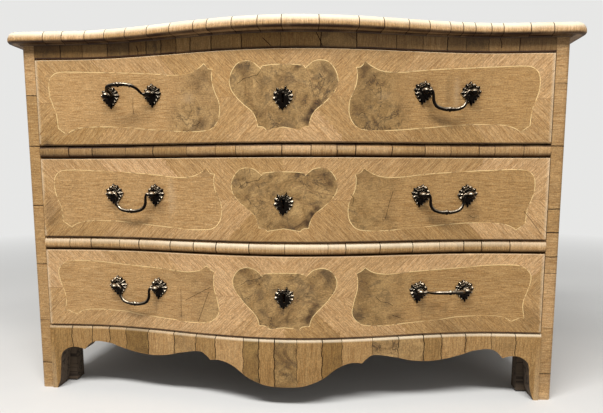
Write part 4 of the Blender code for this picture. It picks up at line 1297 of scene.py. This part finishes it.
def make_top_veneer(stations, proud):
    """Eight matched leaves in stringing, with a mitred band round them."""
    rim = [tuple(at(mark, proud)) for mark, _, at in stations]
    inset = proud - top_band
    front = [tuple(top_front(x, inset))
             for x in even_steps(-carcass_half, carcass_half, lattice)]
    side_x = carcass_half + inset
    front = [p for p in front if abs(p[0]) < side_x]
    near_y = end_y - inset + top_overhang - top_end_overhang
    far_y = back_y - top_band
    field = [(-side_x, far_y), (-side_x, near_y), *front, (side_x, near_y), (side_x, far_y)]
    outer_region, inner_region, lines = stringed(field)
    middle_y = (crown_y + back_y) / 2
    field_joints = [((x * side_x, middle_y - 1.0), (x * side_x, middle_y + 1.0))
                    for x in (-0.5, 0.0, 0.5)]
    field_joints.append(((-1.0, middle_y), (1.0, middle_y)))
    band_x = [x * UNIT for x in TOP_FRONT_JOINTS]
    band_y = [end_y + (back_y - end_y) * share for share in TOP_SIDE_JOINT_SHARES]
    joints = field_joints + [((x, -1.0), (x, 1.0)) for x in band_x]
    joints += [((-1.0, y), (1.0, y)) for y in band_y]
    corner_out = (carcass_half + top_overhang, end_y - top_end_overhang)
    mitres = []
    for sign in (-1.0, 1.0):
        mitres.append(((sign * side_x, near_y), (sign * corner_out[0], corner_out[1])))
        mitres.append(((sign * side_x, far_y), (sign * (side_x + top_band), back_y)))
    lines += edges_of(joints + mitres, joint_width)
    rim_half, rim_front = carcass_half + proud, crown_y - proud
    draw = random.Random(97)

    def wear(u, v):
        reach = min(rim_half - abs(u), v - rim_front - setback(u))
        return 0.55 * (1.0 - ease(reach, 0.0, 0.05))

    seeds = [draw.random() for _ in range(4)]
    tones = [1.0 + draw.uniform(-0.08, 0.08) for _ in range(64)]
    plain = leaf(0.0, seeds[0])

    def paint(u, v):
        if inner_region.holds(u, v):
            if on_strip(field_joints, joint_width, u, v):
                return "joint", plain
            column = abs(u) > side_x / 2
            flip_x = (1.0 if u > 0.0 else -1.0) * (-1.0 if column else 1.0)
            return "wood", leaf(0.0, seeds[1], tones[int(u > 0.0) + 2 * column], 0.0, flip_x,
                                1.0 if v > middle_y else -1.0)
        if outer_region.holds(u, v):
            return "string", plain
        if on_strip(mitres, joint_width, u, v):
            return "joint", plain
        beyond_side = abs(u) - side_x
        beyond_front = near_y - v if abs(u) > side_x else top_band
        beyond_back = v - far_y
        if beyond_side > max(beyond_front, beyond_back, 0.0):
            if any(abs(v - y) < joint_width / 2 for y in band_y):
                return "joint", plain
            index = sum(v > y for y in band_y) + (10 if u > 0.0 else 0)
            return "wood", leaf(0.0, seeds[2] + 0.1 * index, tones[index], wear=wear)
        if any(abs(u - x) < joint_width / 2 for x in band_x):
            return "joint", plain
        index = sum(u > x for x in band_x) + (40 if beyond_back > 0.0 else 20)
        return "wood", leaf(90.0, seeds[3] + 0.1 * index, tones[index], wear=wear)

    def place(u, v, depth):
        return Vector((u, v, top_high.z - depth))

    sheet("top_veneer", "carcass", rim, place, paint, thickness=veneer * 0.9, lines=lines,
          steps_u=even_steps(-carcass_half, carcass_half, 4 * lattice),
          steps_v=even_steps(rim_front, back_y, 4 * lattice))


def make_cove():
    """The hollow moulding under the top, darkened all over as painted shade."""
    reach = cove_reach
    rise = cove_high.z - cove_low.z
    foot = 0.0006
    hollow = reach - foot
    profile = [(veneer_proud, cove_high.z), (reach, cove_high.z), (reach, cove_high.z - foot / 2)]
    for step in range(1, 7):
        angle = math.pi / 2 * step / 6
        profile.append((reach - hollow * math.sin(angle),
                        cove_low.z + foot / 2 + (rise - foot) * math.cos(angle)))
    profile += [(foot, cove_low.z), (veneer_proud, cove_low.z)]
    half = carcass_half

    def at(mark, proud):
        sign = 1.0 if mark > 0.0 else -1.0
        if abs(mark) < half:
            spot = front_point(mark, 0.0, proud)
            return Vector((spot.x, spot.y))
        return Vector((sign * (half + proud), end_y - proud if abs(mark) < half + lattice
                       else back_y))

    marks = [-half - 2 * lattice, -half, *even_steps(-half, half, lattice), half,
             half + 2 * lattice]
    joints = [x * UNIT for x in NOSE_JOINTS]
    pairs = [(j - joint_width / 2, j + joint_width / 2) for j in joints]
    marks = [m for m in marks if not any(a - joint_width < m < b + joint_width
                                         for a, b in pairs)]
    marks = sorted(marks + [m for pair in pairs for m in pair])
    starts = {a for a, _ in pairs}
    stations = [(m, m in starts, at) for m in marks]
    # The constant -0.94 is painted shade under the top's overhang.
    loft("cove_band", stations, profile, joints, 93, "cove_moulding", 0.08,
         lambda u, v: -0.94)


SIDE_FOOT_RUN_SHARES = (
    ((0.36, 0.00), (0.43, 0.14), (0.46, 0.30), (0.49, 0.52), (0.60, 0.64), (0.74, 0.66),
     (0.84, 0.63)),
    ((0.84, 0.63), (0.89, 0.70), (0.95, 0.74), (1.00, 0.75)),
)
SIDE_FOOT_JOINT_SHARES = (0.11, 0.22, 0.35, 0.47, 0.58, 0.70, 0.80, 0.90)
SIDE_DIAGONALS = (-0.16, -0.02, 0.12)
diagonal_reach = 0.5
side_margin = 0.040
SIDE_PANEL_SHARES = (
    ((1.00, 0.70), (0.93, 0.74), (0.90, 0.82), (0.90, 0.92), (0.84, 1.00)),
    ((0.84, 1.00), (0.70, 0.95), (0.45, 0.91), (0.20, 0.95), (0.00, 1.00)),
)


def make_side_veneers():
    """The chest's ends: a panel in stringing over feet cut from the same board."""
    front = stile_high.y + 0.0003
    foot = joined_runs(SIDE_FOOT_RUN_SHARES, side_foot_reach, apron_height, 5)
    under = [(front + along, up) for along, up in foot]
    under += [(back_y - along, up) for along, up in reversed(foot)]
    outline = [(front, 0.0), *under, (back_y, 0.0), (back_y, side_high.z),
               (front, side_high.z)]
    middle_y = (front + back_y) / 2
    low_z, high_z = apron_height, cove_low.z
    middle_z = (low_z + high_z) / 2
    half_y = (back_y - front) / 2 - side_margin
    half_z = (high_z - low_z) / 2 - side_margin
    corner = joined_runs(SIDE_PANEL_SHARES, half_y, half_z, 4)
    panel = corner + [(-y, z) for y, z in reversed(corner[:-1])]
    panel += [(-y, -z) for y, z in corner] + [(y, -z) for y, z in reversed(corner[:-1])]
    panel = [(middle_y + y, middle_z + z) for y, z in panel]
    cleaned = []
    for p in panel:
        if not cleaned or math.dist(p, cleaned[-1]) > joint_width:
            cleaned.append(p)
    outer_region, inner_region, lines = stringed(cleaned)
    straight = [((front, low_z), (back_y, low_z)), ((middle_y, low_z), (middle_y, high_z)),
                ((front, middle_z), (back_y, middle_z))]
    foot_joints = [front + share * (back_y - front) for share in SIDE_FOOT_JOINT_SHARES]
    diagonals = []
    for sign_y in (-1.0, 1.0):
        for sign_z in (-1.0, 1.0):
            for q in SIDE_DIAGONALS:
                out, up = max(q, 0.0), max(-q, 0.0)
                diagonals.append(((middle_y + sign_y * out, middle_z + sign_z * up),
                                  (middle_y + sign_y * (out + diagonal_reach),
                                   middle_z + sign_z * (up + diagonal_reach))))
    joints = straight + diagonals
    lines += edges_of(joints + [((y, 0.0), (y, low_z)) for y in foot_joints], joint_width)

    def middle_burr(u, v):
        return 0.4 * (1.0 - ease(abs(v - middle_z), 0.02, 0.13))

    for side, sign in (("left", -1.0), ("right", 1.0)):
        draw = random.Random(171 + sign)
        tones = [1.0 + draw.uniform(-0.09, 0.09) for _ in range(40)]
        seeds = [draw.random() for _ in range(4)]
        plain = leaf(0.0, seeds[0])

        def paint(u, v, tones=tones, seeds=seeds, plain=plain):
            flip_y = 1.0 if u > middle_y else -1.0
            flip_z = 1.0 if v > middle_z else -1.0
            if inner_region.holds(u, v):
                return "wood", leaf(90.0, seeds[0], tones[int(u > middle_y)], middle_burr,
                                    flip_y)
            if outer_region.holds(u, v):
                return "string", plain
            if v < low_z - joint_width / 2:
                if any(abs(u - y) < joint_width / 2 for y in foot_joints):
                    return "joint", plain
                index = sum(u > y for y in foot_joints)
                return "wood", leaf(90.0, seeds[1] + 0.1 * index, tones[10 + index])
            if on_strip(joints, joint_width, u, v):
                return "joint", plain
            q = abs(u - middle_y) - abs(v - middle_z)
            index = sum(q > place for place in SIDE_DIAGONALS)
            index += 5 * int(u > middle_y) + 10 * int(v > middle_z)
            return "wood", leaf(45.0, seeds[2] + 0.1 * (index % 2), tones[20 + index % 20],
                                0.0, flip_y, flip_z)

        def place(u, v, depth, sign=sign):
            return Vector((sign * (carcass_half + veneer_proud - depth), u, v))

        sheet(f"side_{side}_veneer", "carcass", outline, place, paint, lines=lines)


# Hardware: cast leafy plates, posts turned about their axis, and swan-neck bails.

bail_stop = 15.0
post_spacing = 0.0530
post_head = 0.0072
post_neck = 0.0034
handle_proud = 0.0185
collar_radius = 0.0066
collar_rim = 0.0014
bead_radius = 0.0018
shank_radius = 0.0030
nut_gap = 0.0008
front_thickness = 0.024
rosette_radius = 0.0265
plate_seat = 0.0008
ROSETTE_TIP_SHARES = (
    (92, 0.92), (64, 0.76), (36, 0.86), (6, 0.84), (-24, 0.74), (-50, 0.72), (-72, 0.84),
    (-90, 1.04), (-108, 0.84), (-132, 0.72), (-156, 0.76), (-180, 0.90), (-210, 0.80),
    (-240, 0.84),
)
ESCUTCHEON_TIP_SHARES = (
    (74, 1.02), (60, 0.80), (37, 0.94), (11, 0.86), (-13, 0.78), (-40, 0.72), (-68, 0.78),
    (-94, 1.00), (-110, 0.88), (-144, 0.68), (-173, 0.82), (-208, 0.84), (-240, 0.94),
    (-262, 0.72),
)
plate_notch_share = 0.86
low_notch_share = 0.94
plate_rings_count = 24
plate_steps = 160
rosette_dome = 0.0052
rosette_gauge = 0.0011
rosette_bore = 0.0026
escutcheon_radius = 0.0258
escutcheon_dome = 0.0034
escutcheon_gauge = 0.0012
key_above_case = 0.034
casting_angle = 38.0
ROSETTE_ROLLS = {"left_start": 5.0, "left_end": -3.0, "right_start": -9.0, "right_end": 4.0}


def leafy_edge(tips, direction):
    """How far a leafy plate reaches in a direction, as a share of its radius."""
    tips = sorted((angle % 360, reach) for angle, reach in tips)
    tips = [(tips[-1][0] - 360, tips[-1][1]), *tips, (tips[0][0] + 360, tips[0][1])]
    direction %= 360
    for (a, reach_a), (b, reach_b) in zip(tips, tips[1:]):
        if a <= direction <= b:
            share = (direction - a) / (b - a)
            depth = 1.0 - abs(math.cos(math.pi * share)) ** 1.2
            tip = reach_a + (reach_b - reach_a) * share
            notch = min((reach_a + reach_b) / 2 * plate_notch_share,
                        min(reach_a, reach_b) * low_notch_share)
            return tip + (notch - tip) * depth, depth
    return plate_notch_share, 1.0


def plate_rise(q, direction, notch, dome):
    """How high a cast plate stands: a domed middle, two scrolled ridges and fluted leaves."""
    upper = max(math.sin(math.radians(direction)), 0.0) ** 0.6
    tail = math.exp(-((direction - 270.0) / 13.0) ** 2)
    rise = 0.95 * (1.0 - q ** 2.0)
    rise += 0.50 * upper * math.exp(-((q - 0.46) / 0.075) ** 2)
    rise += 0.40 * upper * math.exp(-((q - 0.70) / 0.060) ** 2)
    rise -= 0.22 * upper * math.exp(-((q - 0.58) / 0.055) ** 2)
    rise += 0.45 * tail * math.exp(-((q - 0.72) / 0.22) ** 2)
    swirl = math.sin(math.radians(direction * 3.0 + 230.0 * q))
    rise += 0.16 * swirl * math.sin(math.pi * q)
    outer = ease(q, 0.62, 0.86)
    rise += outer * (0.30 * (1.0 - notch) ** 1.5 - 0.30 * notch)
    rise += 0.26 * math.exp(-((q - 0.93) / 0.05) ** 2) * (1.0 - notch)
    return dome * max(rise, 0.0)


def plate_rings(tips, radius, dome, gauge, hole):
    """Rings of a cast plate in its own plane, the last of them along its back."""
    rows = []
    for ring in range(plate_rings_count + 1):
        q = ring / plate_rings_count
        row = []
        for step in range(plate_steps):
            direction = 360.0 * step / plate_steps
            angle = math.radians(direction)
            reach, notch = leafy_edge(tips, direction)
            hole_x, hole_y = hole(angle)
            share = q ** 0.85
            x = hole_x + (radius * reach * math.cos(angle) - hole_x) * share
            y = hole_y + (radius * reach * math.sin(angle) - hole_y) * share
            row.append((x, y, gauge + plate_rise(q, direction, notch, dome)))
        rows.append(row)
    rows.append([(x, y, 0.0) for x, y, _ in rows[-1]])
    rows.append([(x, y, 0.0) for x, y, _ in rows[0]])
    return rows


def ring_faces(rows, first, closed):
    """Faces between rings of points; closed joins the last ring to the first."""
    count = len(rows[0])
    faces = []
    pairs = list(range(len(rows) - 1)) + ([len(rows) - 1] if closed else [])
    for row in pairs:
        after = (row + 1) % len(rows)
        for step in range(count):
            turn = (step + 1) % count
            faces.append((first + row * count + step, first + row * count + turn,
                          first + after * count + turn, first + after * count + step))
    return faces


class Casting:
    """Points and faces of closed shells that make one piece."""

    def __init__(self):
        self.points = []
        self.faces = []

    def add_rings(self, rows, place, closed=False):
        first = len(self.points)
        self.faces += ring_faces(rows, first, closed)
        self.points += [place @ Vector(p) for row in rows for p in row]
        if not closed:
            count = len(rows[0])
            last = first + (len(rows) - 1) * count
            self.faces.append(tuple(range(first, first + count)))
            self.faces.append(tuple(range(last, last + count)))

    def make(self, name, body):
        """Make the casting that stands for the node of this name."""
        mesh = bpy.data.meshes.new(name + "_cast")
        mesh.from_pydata(self.points, [], self.faces)
        mesh.materials.append(patinated)
        smooth_faces(mesh, casting_angle)
        finish_piece(name + "_cast", mesh, body, name)


def turned_rows(profile, sides):
    """Rings about the Z axis for a profile of radius and height."""
    rows = []
    for radius, z in profile:
        rows.append([(radius * math.cos(2 * math.pi * k / sides),
                      radius * math.sin(2 * math.pi * k / sides), z) for k in range(sides)])
    return rows


def post_profile():
    """From the tip of the round head down to the end of the shank inside the drawer."""
    profile = []
    for step in range(1, 13):
        angle = math.radians(150.0) * step / 12
        profile.append((post_head * math.sin(angle), post_head * math.cos(angle)))
    collar = plate_seat + rosette_dome + collar_rim - handle_proud
    profile += [(post_neck, -post_head - 0.0004), (post_neck, collar + 0.0042)]
    for step in range(7):
        angle = math.radians(90.0 - 30.0 * step)
        profile.append((post_neck + 0.0010 + bead_radius * math.cos(angle),
                        collar + 0.0024 + bead_radius * math.sin(angle)))
    profile += [(collar_radius, collar), (collar_radius + 0.0002, collar - 0.0012),
                (shank_radius, collar - collar_rim)]
    nut = -handle_proud - front_thickness - nut_gap
    profile += [(shank_radius, nut - 0.0080), (shank_radius - 0.0006, nut - 0.0086)]
    return profile


def nut_rows():
    """A square hand-filed nut with chamfered edges."""
    top = -handle_proud - front_thickness - nut_gap
    half, thickness, chamfer = 0.0060, 0.0050, 0.0007
    rows = []
    for size, z in ((half - chamfer, top), (half, top - chamfer),
                    (half, top - thickness + chamfer), (half - chamfer, top - thickness)):
        rows.append([(size, size, z), (-size, size, z), (-size, -size, z), (size, -size, z)])
    return rows


def make_handle_post(name, body, place, turn, tilt, roll, mirror):
    """A post with its round head, nut and rosette; its own Z axis points out of the front."""
    facing = Matrix.Translation(place) @ Matrix.Rotation(turn, 4, "Z")
    facing = facing @ Matrix.Rotation(math.pi / 2, 4, "X")
    casting = Casting()
    casting.add_rings(turned_rows(post_profile(), 28), facing)
    casting.add_rings(nut_rows(), facing)
    seat = facing @ Matrix.Translation((0.0, 0.0, plate_seat - handle_proud))
    seat = seat @ Matrix.Rotation(tilt, 4, "Y") @ Matrix.Rotation(roll, 4, "Z")
    tips = [(180.0 - a if mirror else a, reach) for a, reach in ROSETTE_TIP_SHARES]

    def hole(angle):
        return rosette_bore * math.cos(angle), rosette_bore * math.sin(angle)

    rows = plate_rings(tips, rosette_radius, rosette_dome, rosette_gauge, hole)
    casting.add_rings(rows, seat, True)
    casting.make(name, body)


BAIL_SHARES = (
    (1.23, -0.01), (1.12, -0.03), (1.04, 0.03), (1.00, 0.18), (0.99, 0.48), (0.91, 0.70),
    (0.76, 0.86), (0.55, 0.95), (0.30, 1.00), (0.00, 1.00),
)
bail_half_width = 0.037
bail_drop = 0.0365
tip_gap = 0.0010
bail_rings = 150
bail_sides = 18


def bail_radius(share, along):
    """The bail's thickness; share runs from 0 at its pins to 1 in the middle."""
    radius = 0.0026 + 0.0013 * ease(share, 0.10, 0.75)
    radius += 0.0012 * math.exp(-((share - 0.13) / 0.035) ** 2)
    radius += 0.0018 * math.exp(-(along / 0.0030) ** 4)
    radius += 0.0008 * math.exp(-((along - 0.0066) / 0.0012) ** 2)
    radius += 0.0005 * math.exp(-((along - 0.0098) / 0.0010) ** 2)
    return radius


def make_bail(name, body, centre, turn, angle):
    """A swan-neck bail drawn hanging, then swung up about its pins by an angle in degrees."""
    half = [(bail_half_width * x, -bail_drop * z) for x, z in BAIL_SHARES]
    curve = smooth_run([(post_spacing - tip_gap, 0.0)] + half, 8)
    curve += [(-x, z) for x, z in reversed(curve[:-1])]
    lengths = [0.0]
    for a, b in zip(curve, curve[1:]):
        lengths.append(lengths[-1] + math.dist(a, b))
    total = lengths[-1]
    rows = []
    index = 0
    for step in range(bail_rings + 1):
        eased = total * (1.0 - math.cos(math.pi * step / bail_rings)) / 2
        s = eased * 0.25 + total * step / bail_rings * 0.75
        while index < len(lengths) - 2 and lengths[index + 1] < s:
            index += 1
        a, b = Vector(curve[index]), Vector(curve[index + 1])
        spot = a.lerp(b, (s - lengths[index]) / (lengths[index + 1] - lengths[index]))
        before, after = curve[max(index - 1, 0)], curve[min(index + 2, len(curve) - 1)]
        along = (Vector(after) - Vector(before)).normalized()
        across = Vector((along.y, -along.x))
        share = 1.0 - abs(2.0 * s / total - 1.0)
        radius = bail_radius(share, abs(s - total / 2))
        if step in (0, bail_rings):
            radius *= 0.7
        row = []
        for k in range(bail_sides):
            phi = 2 * math.pi * k / bail_sides
            offset = across * radius * math.cos(phi)
            row.append((spot.x + offset.x, radius * math.sin(phi), spot.y + offset.y))
        rows.append(row)
    facing = Matrix.Translation(centre) @ Matrix.Rotation(turn, 4, "Z")
    facing = facing @ Matrix.Rotation(-math.radians(angle), 4, "X")
    casting = Casting()
    casting.add_rings(rows, facing)
    casting.make(name, body)


def make_escutcheon(name, key_z):
    """The cast plate round a keyhole."""
    outline = keyhole_outline(0.0, 0.0034, 0.0044, 0.0200, 24)

    def hole(angle):
        """Where a ray from the middle meets the keyhole."""
        ray = Vector((math.cos(angle), math.sin(angle)))
        best = None
        for a, b in zip(outline, outline[1:] + outline[:1]):
            a, b = Vector(a), Vector(b)
            edge = b - a
            cross = ray.x * edge.y - ray.y * edge.x
            if abs(cross) < 1e-12:
                continue
            reach = (a.x * edge.y - a.y * edge.x) / cross
            share = (a.x * ray.y - a.y * ray.x) / cross
            if reach > 0.0 and -1e-6 <= share <= 1.000001 and (best is None or reach < best):
                best = reach
        return tuple(ray * best)

    rows = plate_rings(ESCUTCHEON_TIP_SHARES, escutcheon_radius, escutcheon_dome,
                       escutcheon_gauge, hole)
    place = Matrix.Translation((0.0, crown_y - plate_seat, key_z))
    place = place @ Matrix.Rotation(math.pi / 2, 4, "X")
    casting = Casting()
    casting.add_rings(rows, place, True)
    casting.make(f"{name}_escutcheon", f"{name}_drawer")


def make_handles():
    """Bails at their rest angles and posts at both ends of each bail's axis."""
    draw = random.Random(59)
    for joint in frame["joints"]:
        if not joint["name"].endswith("_bail_swing"):
            continue
        drawer, side = joint["name"].split("_")[:2]
        centre = Vector(joint["pos_m"])
        along = -Vector(joint["axis"]).normalized()
        turn = math.atan2(along.y, along.x)
        angle = -joint["range_deg"][0] - bail_stop
        make_bail(f"{drawer}_bail_{side}", joint["child"], centre, turn, angle)
        for step, sign in (("start", -1.0), ("end", 1.0)):
            place = centre + along * sign * post_spacing
            is_outer = (place.x > centre.x) == (side == "right")
            reach = "outer" if is_outer else "inner"
            tilt = math.atan(slope(place.x)) - turn
            roll = ROSETTE_ROLLS[f"{side}_{step}"] + draw.uniform(-2.5, 2.5)
            make_handle_post(f"{drawer}_handle_post_{side}_{reach}", joint["parent"], place,
                             turn, tilt, math.radians(roll), sign < 0.0)


for index, name in enumerate(DRAWERS):
    key_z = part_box(f"{name}_lock_case")[0].z + key_above_case
    make_drawer_veneer(name, key_z, index + 1)
    make_escutcheon(name, key_z)
make_rail_veneer("rail_upper", 41)
make_rail_veneer("rail_lower", 43)
make_top_rail_veneer()
make_apron()
make_stile_veneers()
make_side_veneers()
make_top()
make_cove()
make_handles()

for name, item in frame["nodes"].items():
    if "bail" in name or "handle" in name or "escutcheon" in name:
        material = patinated
    elif "lock" in name:
        material = iron
    elif "side" in name or "runner" in name or "kicker" in name:
        material = pine_y
    # The bottom board gets the dark softwood, for dirt and as painted shade under the carcass.
    elif name == "bottom_board":
        material = grimy_and_shaded
    else:
        material = pine_x
    for material_slot in item.material_slots:
        material_slot.material = material


# Floor, light and camera

BACKDROP = (0.80, 0.80, 0.79, 1.0)
world_light = 0.27


def seen_share(tree):
    """1 for rays that show the backdrop and 0 for those that light the object by it."""
    path = node(tree, "ShaderNodeLightPath").outputs
    seen = maths(tree, "MAXIMUM", path["Is Camera Ray"], path["Is Transmission Ray"])
    return maths(tree, "MAXIMUM", seen, maths(tree, "MULTIPLY", path["Is Glossy Ray"], 0.6))


def make_floor():
    """A pale floor that keeps the shadow and fades into the backdrop further off."""
    reach = 30.0
    mesh = bpy.data.meshes.new("floor")
    mesh.from_pydata([(-reach, -reach, 0.0), (reach, -reach, 0.0), (reach, reach, 0.0),
                      (-reach, reach, 0.0)], [], [(0, 1, 2, 3)])
    floor = bpy.data.objects.new("floor", mesh)
    bpy.context.scene.collection.objects.link(floor)
    material, tree, shader = new_material("pale_floor")
    place = node(tree, "ShaderNodeTexCoord").outputs["Object"]
    faint = noise(tree, place, 2.0, 3.0)
    base = ramp(tree, faint, ((0.3, linear(228, 227, 224)), (0.7, linear(233, 232, 229))))
    tree.links.new(base, shader.inputs["Base Color"])
    shader.inputs["Roughness"].default_value = 0.8
    distance = node(tree, "ShaderNodeVectorMath", {0: place}, operation="LENGTH")
    far = grey_ramp(tree, maths(tree, "MULTIPLY", distance.outputs["Value"], 0.1), 0.09, 0.42)
    glow = node(tree, "ShaderNodeEmission", {
        "Color": BACKDROP, "Strength": maths(tree, "MULTIPLY_ADD", seen_share(tree),
                                             1.0 - world_light, world_light)})
    blend = node(tree, "ShaderNodeMixShader", {"Fac": far})
    tree.links.new(shader.outputs["BSDF"], blend.inputs[1])
    tree.links.new(glow.outputs["Emission"], blend.inputs[2])
    tree.links.new(blend.outputs["Shader"], tree.nodes["Material Output"].inputs["Surface"])
    mesh.materials.append(material)


def add_area_light(name, place, target, size, power):
    light = bpy.data.lights.new(name, "AREA")
    light.shape = "RECTANGLE"
    light.size, light.size_y = size
    light.energy = power
    item = bpy.data.objects.new(name, light)
    item.location = place
    aim = Vector(target) - Vector(place)
    item.rotation_euler = aim.to_track_quat("-Z", "Y").to_euler()
    bpy.context.scene.collection.objects.link(item)


def make_world():
    """An even studio: rays that see it get a pale backdrop, and it lights more weakly."""
    world = bpy.data.worlds.new("studio")
    bpy.context.scene.world = world
    world.use_nodes = True
    tree = world.node_tree
    background = tree.nodes["Background"]
    background.inputs["Color"].default_value = BACKDROP
    tree.links.new(maths(tree, "MULTIPLY_ADD", seen_share(tree), 1.0 - world_light,
                         world_light), background.inputs["Strength"])


def make_camera():
    """The camera of the photograph."""
    camera = bpy.data.cameras.new("camera")
    camera.sensor_width = 36.0
    camera.lens = 33.43
    camera.shift_x = -0.0115
    camera.shift_y = 0.0723
    item = bpy.data.objects.new("camera", camera)
    item.location = (0.1347, -1.4746, 0.5077)
    item.rotation_euler = (math.radians(90.0 - 7.484), 0.0, math.radians(3.983))
    bpy.context.scene.collection.objects.link(item)
    bpy.context.scene.camera = item


make_floor()
make_world()
add_area_light("key", (-0.30, -2.00, 3.1), (0.0, -0.2, 0.4), (3.2, 0.55), 140.0)
add_area_light("fill", (2.2, -3.0, 1.2), (0.0, 0.0, 0.4), (2.4, 1.6), 9.0)
make_camera()
bpy.context.scene.view_settings.view_transform = "Standard"
